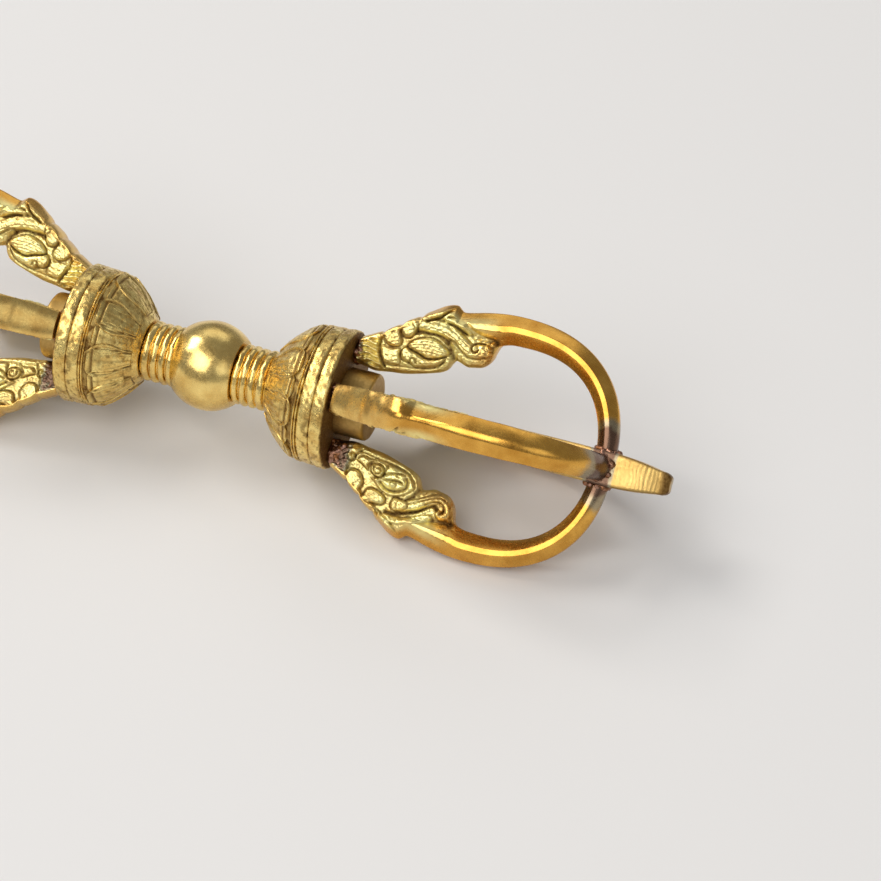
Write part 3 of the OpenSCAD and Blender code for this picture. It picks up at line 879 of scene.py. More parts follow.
def dome(x, r, outline, height, edge):
    """A rounded lobe inside a drawn outline."""
    line = rounded(outline, closed=True)
    inside = np.where(within(x, r, line), line_distance(x, r, line), 0)
    return height * np.sqrt(smooth_step(inside / edge))


def groove(x, r, line, width, depth):
    """A cut along a drawn line."""
    return -depth * bell(line_distance(x, r, rounded(line)), width)


def bead(x, r, bead_x, bead_r, size, height):
    """A round bead."""
    d2 = ((x - bead_x) ** 2 + (r - bead_r) ** 2) / size**2
    return height * np.sqrt(np.clip(1 - d2, 0, 1))


def band(x, r, line, first, last, height):
    """A round band along a drawn line, with a half width for each end."""
    across, along = line_share(x, r, rounded(line))
    half = first + (last - first) * along
    return height * np.sqrt(np.clip(1 - (across / half) ** 2, 0, 1))


def hatch(x, r, outline, line, pitch, depth):
    """Cuts side by side along a drawn line, inside a drawn outline."""
    waves = np.cos(2 * math.pi * line_share(x, r, rounded(line))[0] / pitch)
    return -dome(x, r, outline, depth, HATCH_ROUND) * (0.5 + 0.5 * waves) ** 2


def head_relief(x, r, carving):
    """Height of the carving over the plain side of the head."""
    sway = STRAND_SWAY * np.sin(x * STRAND_SWAY_RATE + r)
    strands = np.sin(2 * math.pi * (r + sway) / STRAND_PITCH)
    height = dome(x, r, MANE, MANE_RISE, MANE_ROUND) * (1 + carving["strands"] * strands)
    forms = (("lobes", dome), ("bands", band), ("beads", bead), ("lines", groove), ("hatches", hatch))
    for kind, form in forms:
        for shape in carving[kind]:
            height += form(x, r, *shape)
    for outline, rise, _ in carving["lobes"]:
        rim = line_distance(x, r, rounded(outline, closed=True))
        height -= LOBE_RIM * rise * bell(rim, LOBE_RIM_WIDTH)
    return height


# Rings of a prong, and the bend of its blade from the belly to the crossing
ACROSS = 100
HEAD_STEP = 0.09
BEND_RINGS = 90
BEND_STEPS = 900
BELLY_R = 14.5
BEND_LEN = CROSSING - HEAD_END
BEND_POWER = 2.35
BLADE_END_R = 2.45
# Half height and half width of the blade at the belly, and how much they change up to its tip
BLADE_HIGH = 1.935
BLADE_HIGH_GROWS = 1.38 - 1.935
BLADE_WIDE = 2.26
BLADE_WIDE_GROWS = 1.78 - 2.26
# Shares of a half width: the blade's ridge before it is cut flat, its fall to the blunt edge, and the flat
# top of a roof-shaped back
RIDGE_WIDE = 1.11
RIDGE_FALL = 0.88
ROOF_FLAT = 0.13
# Section of the head's plate: power of its curve, how full it is, and how near the back its top stays full
PLATE_POWER = 3.2
PLATE_FULL = 0.9
PLATE_NEAR = 0.3
# How sharply plate, blade, side and back of a head run into one another, the least half widths, and how fast
# the back lets the side widen below it
BLADE_BLEND = 9
SIDE_BLEND = 7
BACK_BLEND = 14
LEAST_PLATE = 0.18
LEAST_HALF = 0.05
BACK_OPENS = 1.5
# Share of an oval in the blade's section towards the belly and the tip, and how thin the oval's edge is
OVAL_BELLY = 0.15
OVAL_TIP = 0.5
OVAL_EDGE = 0.985
# Width over which the relief runs out at the rim, patina that the mane loses, grain that stays on the back
# and on the blade's flank beside the head, and bright metal that stays on the back
RIM_WIDTH = 0.45
MANE_WORN = 0.5
BACK_GRAIN = 0.1
FLANK_GRAIN = 0.5
BACK_BRIGHT = 0.4
# Soft steps along the axis, as a station and a length
MANE_END = (22.6, 0.5)
ROOF_FROM = (25, 4)
BACK_BRIGHT_END = (31, 5)
FLANK_FROM = (31, 2)
PLAIN_FROM = (32, 2)
CARVED_END = (38.5, 5)
RELIEF_END = (HEAD_END - 1.5, 1.5)
FLANK_END = (39.5, 5)
BLADE_RELIEF_END = (40, 7)
# Soft steps inwards from the back, outwards from the blade's inner edge or the axis, and along the bend
RELIEF_IN = (0.45, 0.85)
CARVED_IN = (0.5, 1)
ROOT_HEAT_IN = (0.5, 0.8)
BLADE_RELIEF_OUT = (0.6, 0.6)
PLAIN_OUT = (0.5, 0.6)
FLANK_OUT = (11.8, 0.8)
OVAL_BELLY_FROM = (0, 0.2)
OVAL_TIP_FROM = (0.6, 0.4)
# Patina in cut lines and in wider hollows: cells of the window, depth that counts as full, what is taken off
# and the share
CREVICES = ((3, 0.09, 0.25, 1), (11, 0.5, 0.15, 0.5))
# Unevenness in layers of (share, size, seed): of the whole casting, which is sunk a little, of the carving,
# of the blade's flank and of the brown at the root
PRONG_LAYERS = ((1.2, 4.5, 5),)
PRONG_SINK = 0.8
CARVING_LAYERS = ((0.7, 1.1, 3), (2.0, 0.45, 6), (0.8, 0.27, 9))
FLANK_LAYERS = ((0.7, 0.5, 4),)
ROOT_TINT_LAYERS = ((0.8, 1.4, 8),)
# Radius where the blades touch the central prong, the reach of the brown about the joints, and the heat at
# the root
TIP_TOUCH_R = 2.4
TIP_TINT_FADE = 5
ROOT_TINT_FADE = 2.2
ROOT_HEAT = 0.95


def rhombus(s, ridge):
    """Half width of a blade over its thickness from -1 to 1, with blunt edges and a soft ridge."""
    fall = (np.sqrt(s * s + ridge * ridge) - ridge) / (math.hypot(1, ridge) - ridge)
    return np.minimum(1, RIDGE_WIDE - RIDGE_FALL * fall)


def cast_skin(points):
    """Broad unevenness of a cast prong."""
    return layered(points, PRONG_LAYERS) - PRONG_SINK


def plate_half(x, r, low, high):
    """Half width of the plate that the head is carved from."""
    top = np.minimum(edge_at(PLATE_TOP, x), high)
    u = np.clip((r - (top + low) / 2) / ((top - low) / 2), -1, 1)
    u = np.where((u > 0) & (top > high - PLATE_NEAR), 0, u)
    return edge_at(PLATE_HALF, x) * np.sqrt(np.clip(1 - np.abs(u) ** PLATE_POWER, 0, 1)) ** PLATE_FULL


def blade_half(x, r, inner, high, ridge):
    """Half width of the blade where it runs through the head."""
    v = np.clip((r - (inner + high) / 2) / ((high - inner) / 2), -1, 1)
    return np.where(r >= inner, edge_at(BLADE_HALF, x) * rhombus(v, ridge), 0)


def back_half(x, below):
    """Largest half width at a depth below the back, which is round at the root and a roof further on."""
    below = below / edge_at(BACK_DEPTH, x)
    depth = np.clip(below, 0, 1)
    round_back = np.sqrt(1 - (1 - depth) ** 2)
    roof_back = ROOF_FLAT + (1 - ROOF_FLAT) * depth
    half = edge_at(BACK_HALF, x) * (round_back + (roof_back - round_back) * rising(x, *ROOF_FROM))
    return half + BACK_OPENS * np.maximum(below - 1, 0)


def carving_depth(side):
    """How deep each point lies in cut lines and in wider hollows, from 0 to 1."""
    deep = 0
    for cells, full, off, share in CREVICES:
        deep = deep + share * np.clip((blurred(side, cells) - side) / full - off, 0, 1)
    return blurred(np.clip(deep, 0, 1), 1)


def head_side(x, r, s, high, carving, depth_share, cast, ridge):
    """Half width of the head over its rings on one side, and how deep each point lies in the carving."""
    low = edge_at(INNER_EDGE, x)
    inner = edge_at(BLADE_INNER, x)
    blade = blade_half(x, r, inner, high, ridge)
    side = soft_max(plate_half(x, r, low, high), blade, BLADE_BLEND)
    rim = np.sqrt(np.minimum(1, (1 - np.abs(s)) * (high - low) / 2 / RIM_WIDTH))
    fade = falling(x, *RELIEF_END)
    fade = fade + (falling(x, *BLADE_RELIEF_END) - fade) * rising(r - inner, *BLADE_RELIEF_OUT)
    inward = rising(high - r, *RELIEF_IN)
    rise = edge_at(BACK_RISE, x)
    relief = (rise + (head_relief(x, r, carving) - rise) * inward) * depth_share
    side = np.maximum(side + relief * rim * fade, LEAST_PLATE)
    side = soft_min(side, edge_at(SIDE_LIMIT, x), SIDE_BLEND)
    side = soft_min(side, back_half(x, high - r), BACK_BLEND)
    side = np.maximum(blade + (side - blade) * fade, LEAST_HALF)
    plain = rising(x, *PLAIN_FROM) * rising(r - inner, *PLAIN_OUT)
    mane = MANE_WORN * falling(x, *MANE_END)
    deep = carving_depth(side) * fade * rim * inward * (1 - plain) * (1 - mane)
    at = np.stack([x, side, r], axis=-1)
    grain = (BACK_GRAIN + (1 - BACK_GRAIN) * inward) * fade * (1 - plain)
    flank = FLANK_GRAIN * rising(x, *FLANK_FROM) * falling(x, *FLANK_END) * rising(r, *FLANK_OUT)
    uneven = cast_skin(at) + grain * layered(at, CARVING_LAYERS) + flank * layered(at, FLANK_LAYERS)
    return side + cast * uneven, deep


def bend_path():
    """Even stations and radii along the middle of the bent blade, and its direction there."""
    end = math.asin((BLADE_END_R / BELLY_R) ** (BEND_POWER / 2))
    turn = np.radians(np.linspace(90, math.degrees(end), BEND_STEPS))
    x = HEAD_END + BEND_LEN * np.clip(np.cos(turn), 0, 1) ** (2 / BEND_POWER)
    r = BELLY_R * np.sin(turn) ** (2 / BEND_POWER)
    walked = np.concatenate([[0], np.cumsum(np.hypot(np.diff(x), np.diff(r)))])
    even = np.linspace(0, 1, BEND_RINGS) * walked[-1]
    x, r = np.interp(even, walked, x), np.interp(even, walked, r)
    dx, dr = np.gradient(x), np.gradient(r)
    size = np.hypot(dx, dr)
    dx, dr = dx / size, dr / size
    dx[0], dr[0] = 1, 0
    return [v[:, None] for v in (x, r, dx, dr)]


def bend_rings(s, cast, ridge):
    """Stations, radii and half widths of the rings round the bent blade."""
    share = np.linspace(0, 1, BEND_RINGS)[:, None]
    x, r, dx, dr = bend_path()
    half_high = BLADE_HIGH + BLADE_HIGH_GROWS * share
    half_wide = BLADE_WIDE + BLADE_WIDE_GROWS * share
    ring_x = x - dr * s * half_high
    ring_r = r + dx * s * half_high
    oval = OVAL_BELLY * rising(share, *OVAL_BELLY_FROM) + OVAL_TIP * rising(share, *OVAL_TIP_FROM)
    section = rhombus(s, ridge)
    side = half_wide * (section + (np.sqrt(1 - OVAL_EDGE * s * s) - section) * oval)
    return ring_x, ring_r, side + cast * cast_skin(np.stack([ring_x, side, ring_r], axis=-1))


def prong_values(x, r, below, look):
    """Where a prong has the bright metal of the carving, and the heat that its joints left on it."""
    on_back = BACK_BRIGHT * falling(x, *BACK_BRIGHT_END)
    carved = falling(x, *CARVED_END) * np.maximum(rising(below, *CARVED_IN), on_back)
    joint = np.hypot(x - CROSSING, np.maximum(r - TIP_TOUCH_R, 0))
    uneven = layered(np.stack([x, 0 * x, r], axis=-1), ROOT_TINT_LAYERS)
    crept = ROOT_X + look["root_tint"] - x + uneven
    root_heat = ROOT_HEAT * rising(below, *ROOT_HEAT_IN) * smooth_step(crept / ROOT_TINT_FADE)
    return carved, np.maximum(falling(joint, look["tip_tint"], TIP_TINT_FADE), root_heat)


def prong_rings(depth_share, cast, look):
    """Rings of an outer prong at the top of the right-hand end, and its values for the finish."""
    s = np.linspace(-1, 1, ACROSS + 1)
    head_x = np.arange(ROOT_X, HEAD_END, HEAD_STEP)[:, None] * np.ones_like(s)
    low, high = edge_at(INNER_EDGE, head_x), outer_edge(head_x, look["notch"])
    head_r = (low + high) / 2 + s * (high - low) / 2
    bend_x, bend_r, bend_side = bend_rings(s, cast, look["ridge"])
    x, r = np.vstack([head_x, bend_x]), np.vstack([head_r, bend_r])
    carved, heat = prong_values(x, r, outer_edge(x, look["notch"]) - r, look)
    halves = []
    crevices = []
    for sign, carving in ((1, NEAR_CARVING), (-1, FAR_CARVING)):
        side, deep = head_side(head_x, head_r, s, high, carving, depth_share, cast, look["ridge"])
        side = np.vstack([side, bend_side])
        side[:, [0, -1]] = 0
        halves.append(np.stack([x, sign * side, r], axis=-1))
        crevices.append(np.vstack([deep, np.zeros(bend_x.shape)]))

    def joined(near, far):
        """Both sides in one ring, up one and down the other."""
        return np.concatenate([near, far[:, -2:0:-1]], axis=1)

    values = {"crevice": crevices, "carved": (carved, carved), "joint_heat": (heat, heat)}
    return joined(*halves), {key: joined(*pair) for key, pair in values.items()}


# Points round a turned piece; then the globe: points of its arc, step along its outline, and its unevenness
TURN_STEPS = 160
GLOBE_ARC = 60
GLOBE_STEP = 0.3
GLOBE_LAYERS = ((1.0, 3.6, 11), (0.4, 1.3, 12))
GLOBE_SINK = 1
GLOBE_CAST = 0.9


class VAJRA_OT_globe(bpy.types.Operator):
    """Globe in the middle of the grip"""

    bl_idname = "vajra.globe"
    bl_label = "Globe"

    def execute(self, context):
        cast = context.scene.vajra_sizes.cast_wobble / MM
        end = math.acos(GLOBE_END / GLOBE_R)
        arc = np.linspace(math.pi - end, end, GLOBE_ARC)
        outer = np.stack([GLOBE_R * np.cos(arc), GLOBE_R * np.sin(arc)], axis=1)
        outline = np.vstack([[[-GLOBE_END, BORE_R]], outer, [[GLOBE_END, BORE_R]]])

        def relief(points, x, r):
            uneven = layered(points, GLOBE_LAYERS) - GLOBE_SINK
            return np.where(r > BORE_R + 0.1, cast * GLOBE_CAST * uneven, 0)

        points, faces = turned(dense(outline, GLOBE_STEP), TURN_STEPS, relief)
        mesh = make_mesh("globe_turned", points, faces, grip_brass())
        add_piece("globe_turned", mesh, "grip_brass", "globe")
        return {"FINISHED"}


# Geometry Nodes


def geometry_tree(name, inputs):
    """A tree with a geometry socket at both ends and named inputs, and the inputs' identifiers."""
    tree = bpy.data.node_groups.new(name, "GeometryNodeTree")
    for way in ("INPUT", "OUTPUT"):
        tree.interface.new_socket("Geometry", in_out=way, socket_type="NodeSocketGeometry")
    identifiers = {}
    for label, kind in inputs:
        identifiers[label] = tree.interface.new_socket(label, in_out="INPUT", socket_type=kind).identifier
    return tree, identifiers


def grown_mesh(name, base, tree, values, identifiers, extra=None):
    """Runs a tree on a base mesh and returns the result as a plain mesh."""
    holder = bpy.data.objects.new(name, base)
    bpy.context.scene.collection.objects.link(holder)
    modifier = holder.modifiers.new("grow", "NODES")
    modifier.node_group = tree
    for label, value in values.items():
        modifier[identifiers[label]] = value
    if extra:
        extra(holder)
    graph = bpy.context.evaluated_depsgraph_get()
    mesh = bpy.data.meshes.new_from_object(holder.evaluated_get(graph), depsgraph=graph)
    mesh.name = name
    holder.modifiers.clear()
    bpy.data.objects.remove(holder)
    if not mesh.polygons:
        raise RuntimeError(f"{name} came out empty")
    return mesh


def cast_copies(tree, copies, amount, scale, middle, material, place):
    """Makes copies real, pushes their skin in and out by noise about a middle, and gives them a material."""
    px, py = place
    real = add_node(tree, "GeometryNodeRealizeInstances", (px, py), i0=copies)
    normal = add_node(tree, "GeometryNodeInputNormal", (px, py - 200))
    noise = add_node(tree, "ShaderNodeTexNoise", (px, py - 340), Scale=scale, Detail=2.0)
    centre = add_math(tree, "SUBTRACT", (px + 180, py - 340), noise[0], middle)
    by = add_math(tree, "MULTIPLY", (px + 340, py - 340), centre, amount)
    scaled = {"operation": "SCALE"}
    push = add_node(tree, "ShaderNodeVectorMath", (px + 500, py - 200), scaled, i0=normal[0], Scale=by)
    shaped = add_node(tree, "GeometryNodeSetPosition", (px + 660, py), Geometry=real[0], Offset=push[0])
    painted = {"Geometry": shaped[0], "Material": material}
    return add_node(tree, "GeometryNodeSetMaterial", (px + 840, py), **painted)[0]


# Radius of a hoop's wire as a share of its length, so that neighbours touch, and points round hoop and wire
HOOP_WIRE = 0.54
HOOP_STEPS = 144
WIRE_STEPS = 20
QUARTER_TURN = (0.0, math.pi / 2, 0.0)


def hoop(tree, length, radius, place):
    """One hoop about X, a little wider than length."""
    px, py = place
    circle = "GeometryNodeCurvePrimitiveCircle"
    minor = add_math(tree, "MULTIPLY", (px, py), length, HOOP_WIRE)
    major = add_math(tree, "SUBTRACT", (px + 160, py), radius, minor)
    path = add_node(tree, circle, (px + 320, py), Resolution=HOOP_STEPS, Radius=major)[0]
    profile = add_node(tree, circle, (px + 320, py - 160), Resolution=WIRE_STEPS, Radius=minor)[0]
    sweep = add_node(tree, "GeometryNodeCurveToMesh", (px + 500, py), Curve=path, Profile_Curve=profile)[0]
    return add_node(tree, "GeometryNodeTransform", (px + 660, py), Geometry=sweep, Rotation=QUARTER_TURN)[0]


def ring_tree(material):
    """Rings side by side along X on a neck, each a rounded hoop with a little wobble."""
    tree, ids = geometry_tree(
        "collar_rings",
        [
            ("Thin Count", WHOLE), ("Thin Pitch", VALUE), ("Thick Length", VALUE),
            ("Start", VALUE), ("Radius", VALUE), ("Wobble", VALUE),
        ],
    )
    enter = add_node(tree, "NodeGroupInput", (-1600, 0))
    count, pitch, thick_length = enter["Thin Count"], enter["Thin Pitch"], enter["Thick Length"]
    half = add_math(tree, "MULTIPLY", (-1300, 300), pitch, 0.5)
    first = add_math(tree, "ADD", (-1140, 300), half, enter["Start"])
    first_at = add_node(tree, "ShaderNodeCombineXYZ", (-980, 300), i0=first)[0]
    step = add_node(tree, "ShaderNodeCombineXYZ", (-980, 160), i0=pitch)[0]
    spots = {"Count": count, "Start Location": first_at, "Offset": step}
    row = add_node(tree, "GeometryNodeMeshLine", (-800, 300), **spots)[0]
    ring = hoop(tree, pitch, enter["Radius"], (-1300, 0))
    thin = add_node(tree, "GeometryNodeInstanceOnPoints", (-300, 300), Points=row, Instance=ring)[0]

    thin_length = add_math(tree, "MULTIPLY", (-1300, -500), count, pitch)
    thick_half = add_math(tree, "MULTIPLY", (-1300, -640), thick_length, 0.5)
    thick_off = add_math(tree, "ADD", (-1140, -500), thin_length, thick_half)
    thick_x = add_math(tree, "ADD", (-980, -500), thick_off, enter["Start"])
    thick_at = add_node(tree, "ShaderNodeCombineXYZ", (-820, -500), i0=thick_x)[0]
    ring = hoop(tree, thick_length, enter["Radius"], (-1300, -800))
    thick = add_node(tree, "GeometryNodeTransform", (-300, -500), Geometry=ring, Translation=thick_at)[0]

    together = tree.nodes.new("GeometryNodeJoinGeometry")
    for piece in (thin, thick, enter["Geometry"]):
        tree.links.new(piece, together.inputs[0])
    skin = cast_copies(tree, together.outputs[0], enter["Wobble"], *RING_NOISE, material, (180, 0))
    add_node(tree, "NodeGroupOutput", (1200, 0), Geometry=skin)
    return tree, ids


# Share of a collar's length that the thick ring takes, the neck below the rings, and their wobble with the
# scale and the middle of its noise
THICK_SHARE = 0.29
NECK_DROP = 0.5
NECK_STEP = 0.4
NECK_TURN_STEPS = 96
RING_WOBBLE = 13
RING_NOISE = (620.0, 0.72)


class VAJRA_OT_collars(bpy.types.Operator):
    """Ringed collars on both sides of the globe"""

    bl_idname = "vajra.collars"
    bl_label = "Ringed collars"

    def execute(self, context):
        sizes = context.scene.vajra_sizes
        material = grip_brass()
        tree, ids = ring_tree(material)
        length = (COLLAR_END - GLOBE_END) * MM
        thick = length * THICK_SHARE
        values = {
            "Thin Count": sizes.ring_count,
            "Thin Pitch": (length - thick) / sizes.ring_count,
            "Thick Length": thick,
            "Start": GLOBE_END * MM,
            "Radius": COLLAR_R * MM,
            "Wobble": sizes.cast_wobble * RING_WOBBLE,
        }
        neck_r = COLLAR_R - NECK_DROP
        outline = [[GLOBE_END, BORE_R], [GLOBE_END, neck_r], [COLLAR_END, neck_r], [COLLAR_END, BORE_R]]
        points, faces = turned(dense(outline, NECK_STEP), NECK_TURN_STEPS)
        neck = make_mesh("collar_neck", points, faces, material)
        for label, side in SIDES.items():
            name = f"collar_{label}"
            mesh = grown_mesh(name, neck, tree, values, ids)
            if side < 0:
                mesh.transform(Matrix.Scale(-1, 4, (1, 0, 0)))
                mesh.flip_normals()
            mesh.shade_smooth()
            add_piece(name, mesh, "grip_brass", f"ringed_collar_{label}")
        return {"FINISHED"}


# Lotus bulb along the axis: petalled cup, double bead and two bands up to the rim
CUP_LEN = 5.8
CUP_NECK_R = 4.1
CUP_R = 9.0
CUP_BULGE = 0.9
CUP_STEPS = 40
BEAD_LEN = 0.7
BEAD_RISE = 0.3
BEAD_STEPS = 9
BAND_LEN = 1.8
BAND_RISE = 0.26
RIM_BAND_RISE = 0.24
BAND_FLAT = 5
BAND_STEPS = 26
RIM_R = 9.3
BEAD_X = COLLAR_END + CUP_LEN
BAND_X = BEAD_X + BEAD_LEN
# Rows of petals: share of the rise, share of the room for one petal, then foot, shoulder and tip along the
# cup, and the first petal's turn in half steps
PETAL_ROWS = {
    "inner": (0.7, 0.8, 0.22, 0.45, 0.93, 0),
    "outer": (1, 0.86, 0.1, 0.42, 0.985, 1),
}
PETAL_WOBBLE = 8
PETAL_NOISE = (850.0, 0.6)
# A petal: points along it, across it and on its back, depth of its back in the cup, shares of its width at
# the foot and further on, power of the taper, its least width, and how blunt its tip is
PETAL_ALONG = 72
PETAL_ACROSS = 56
PETAL_BACK = 5
PETAL_SINK = 0.5
PETAL_FOOT = 0.72
PETAL_WIDENS = 0.28
PETAL_TAPER = 2.2
PETAL_LEAST = 0.002
PETAL_BLUNT = 1.6
# Forms on a petal, with heights and depths as shares of the rise: body, lip, cut lines, vein and swollen tip
BODY_RISE = 0.75
LIP_RISE = 0.35
LINE_DEPTH = 0.45
VEIN_DEPTH = 0.15
SWELL_RISE = 0.25
# Bulb: step along its outline, points round it, its unevenness in layers of (share, size, seed) with more on
# the bands, and blotches of patina
BULB_STEP = 0.22
BULB_TURN_STEPS = 256
BULB_LAYERS = ((1.0, 2.2, 21), (1.2, 0.9, 22))
BAND_LAYERS = ((1.8, 0.55, 24),)
BULB_SINK = 0.6
BULB_BLOTCHES = ((1.0, 1.1, 23), (0.6, 0.5, 25))
PETAL_BLOTCHES = ((1.0, 1.1, 26), (0.6, 0.5, 27))
BLOTCH_FULL = 0.9
# Strength of the brown on the end face, which is patina and painted shade, and of the patina on the cup
# under the petals and in the blotches
FACE_PATINA_AND_SHADE = 0.6
CUP_BROWN = 0.55
BULB_BLOTCH_BROWN = 0.7
PETAL_BLOTCH_BROWN = 0.6


def cup_r(t):
    """Radius of the cup at a share of its length."""
    return CUP_NECK_R + (CUP_R - CUP_NECK_R) * t + CUP_BULGE * 4 * t * (1 - t)


def blotches(points, layers):
    """Brown spots of patina, from 0 to 1."""
    return smooth_step(layered(points, layers) / BLOTCH_FULL)


def petal(rise, half_angle, foot, shoulder, tip):
    """A lotus petal lying on the cup at the top, as points, faces and crevice values."""
    t = np.linspace(0, 1, PETAL_ALONG)[:, None]
    w = np.linspace(-1, 1, PETAL_ACROSS)[None, :]
    past = np.clip((t - shoulder) / (1 - shoulder), 0, 1)
    taper = np.sqrt(np.maximum(1 - past**PETAL_TAPER, PETAL_LEAST))
    width = half_angle * (PETAL_FOOT + PETAL_WIDENS * smooth_step(t / 0.5)) * taper
    station = foot + (tip - foot) * t
    edge = np.minimum(1 - np.abs(w), (1 - t) * PETAL_BLUNT) + 0 * t * w
    lip = bell(edge - 0.14, 0.09)
    line = bell(edge - 0.3, 0.06) + 0.3 * bell(edge - 0.58, 0.06)
    vein = bell(w, 0.08) * falling(t, 0.8, 0.15)
    body = smooth_step(edge / 0.12)
    swell = SWELL_RISE * body * rising(t, 0.6, 0.4)
    forms = BODY_RISE * body + LIP_RISE * lip - LINE_DEPTH * line - VEIN_DEPTH * vein + swell
    radius = cup_r(station) + rise * forms
    back = np.linspace(1, -1, PETAL_BACK)[None, :]
    theta = np.concatenate([w * width, back * width], axis=1)
    radius = np.concatenate([radius, cup_r(station) - PETAL_SINK + 0 * back], axis=1)
    points, faces = loft(round_axis(COLLAR_END + CUP_LEN * station + 0 * theta, radius, theta))
    worn = np.clip(1.1 * line + 0.35 * vein + bell(edge, 0.07), 0, 1) * 0.9
    worn = np.concatenate([worn, np.ones(back.shape) + 0 * t], axis=1)
    worn = np.concatenate([worn.reshape(-1), [1, 1]])
    return points, faces, np.maximum(worn, PETAL_BLOTCH_BROWN * blotches(points, PETAL_BLOTCHES))


def petal_tree(material):
    """Copies of one petal turned about the axis."""
    tree, ids = geometry_tree("petal_ring", [("Count", WHOLE), ("First Turn", VALUE), ("Wobble", VALUE)])
    enter = add_node(tree, "NodeGroupInput", (-900, 0))
    one_place = (0.0, 0.0, 0.0)
    spots = add_node(tree, "GeometryNodeMeshLine", (-600, 160), Count=enter["Count"], Offset=one_place)[0]
    index = add_node(tree, "GeometryNodeInputIndex", (-900, -240))[0]
    step = add_math(tree, "DIVIDE", (-700, -160), 2 * math.pi, enter["Count"])
    angle = add_math(tree, "MULTIPLY_ADD", (-520, -200), index, step, enter["First Turn"])
    turn = add_node(tree, "ShaderNodeCombineXYZ", (-340, -200), i0=angle)[0]
    each = {"Points": spots, "Instance": enter["Geometry"], "Rotation": turn}
    copies = add_node(tree, "GeometryNodeInstanceOnPoints", (-120, 80), **each)[0]
    skin = cast_copies(tree, copies, enter["Wobble"], *PETAL_NOISE, material, (120, 80))
    add_node(tree, "NodeGroupOutput", (1200, 0), Geometry=skin)
    return tree, ids


def bulb_outline():
    """Section of a bulb from its bore over the cup, the beads and the bands to the end face."""
    bead_seam = BEAD_X + BEAD_LEN / 2
    band_seam = BAND_X + BAND_LEN
    band_r = (CUP_R + RIM_R) / 2
    return (
        [[COLLAR_END, BORE_R]]
        + [[COLLAR_END + CUP_LEN * t, cup_r(t)] for t in np.linspace(0, 1, CUP_STEPS)]
        + bulge(BEAD_X, bead_seam, CUP_R, CUP_R, BEAD_RISE, BEAD_STEPS)[1:]
        + bulge(bead_seam, BAND_X, CUP_R, CUP_R, BEAD_RISE, BEAD_STEPS)[1:]
        + bulge(BAND_X, band_seam, CUP_R, band_r, BAND_RISE, BAND_STEPS, BAND_FLAT)[1:]
        + bulge(band_seam, BULB_END - 0.1, band_r, RIM_R - 0.02, RIM_BAND_RISE, BAND_STEPS, BAND_FLAT)[1:]
        + [[BULB_END, RIM_R - 0.14], [BULB_END, BORE_R]]
    )


def bulb_patina_and_shade(points):
    """Patina of a bulb between the bands, under the petals and in blotches, and patina with painted shade on
    the end face.
    """
    x = points[:, 0]
    r = np.hypot(points[:, 1], points[:, 2])
    smooth = np.interp(x, [COLLAR_END, BEAD_X, BULB_END], [cup_r(0), CUP_R + 0.1, RIM_R + 0.1])
    low = np.clip((smooth - r) / 0.2, 0, 1) * (x > BEAD_X - 0.2)
    # Patina and painted shade on the end face, which lies in shade behind the prong roots
    face = rising(x - BULB_END, -0.05, 0.05) * falling(r, RIM_R - 0.4, 0.3)
    on_cup = CUP_BROWN * (x < BEAD_X) * rising(x - COLLAR_END, 0.9, 1.2)
    spots = BULB_BLOTCH_BROWN * blotches(points, BULB_BLOTCHES)
    return np.clip(low + FACE_PATINA_AND_SHADE * face + on_cup + spots, 0, 1)


class VAJRA_OT_bulbs(bpy.types.Operator):
    """Lotus bulbs with their bands and two rows of petals"""

    bl_idname = "vajra.bulbs"
    bl_label = "Lotus bulbs"

    def execute(self, context):
        sizes = context.scene.vajra_sizes
        cast = sizes.cast_wobble / MM
        material = lotus_brass()

        def relief(points, x, r):
            uneven = layered(points, BULB_LAYERS) + layered(points, BAND_LAYERS) * rising(x, BEAD_X, 0.5)
            free = (x > COLLAR_END + 0.2) & (r > BORE_R + 0.5) & (x < BULB_END - 0.01)
            return np.where(free, cast * (uneven - BULB_SINK), 0)

        points, faces = turned(dense(bulb_outline(), BULB_STEP), BULB_TURN_STEPS, relief)
        crevice = bulb_patina_and_shade(points)
        tree, ids = petal_tree(material)
        room = math.pi / sizes.petal_count
        rows = {}
        for row, (rise, width, foot, shoulder, tip, first) in PETAL_ROWS.items():
            shape = petal(sizes.petal_rise / MM * rise, room * width, foot, shoulder, tip)
            rows[row] = shape, room * first
        for label, side in SIDES.items():
            name = f"bulb_{label}"
            bulb = make_mesh(name, placed(points, 0, side), faces, material, {"crevice": crevice})
            add_piece(name, bulb, "grip_brass", f"lotus_bulb_{label}")
            for row, (shape, first) in rows.items():
                one_points, one_faces, worn = shape
                one = make_mesh("petal", placed(one_points, 0, side), one_faces, material, {"crevice": worn})
                wobble_by = sizes.cast_wobble * PETAL_WOBBLE
                values = {"Count": sizes.petal_count, "First Turn": first, "Wobble": wobble_by}
                ring = grown_mesh(f"petals_{row}_{label}", one, tree, values, ids)
                add_piece(ring.name, ring, "grip_brass")
        return {"FINISHED"}


# Boss: radius of its rounded corner, step along its outline, and its unevenness
BOSS_ROUND = 0.45
BOSS_STEP = 0.25
BOSS_LAYERS = ((1.0, 2.5, 31),)
BOSS_SINK = 1.1


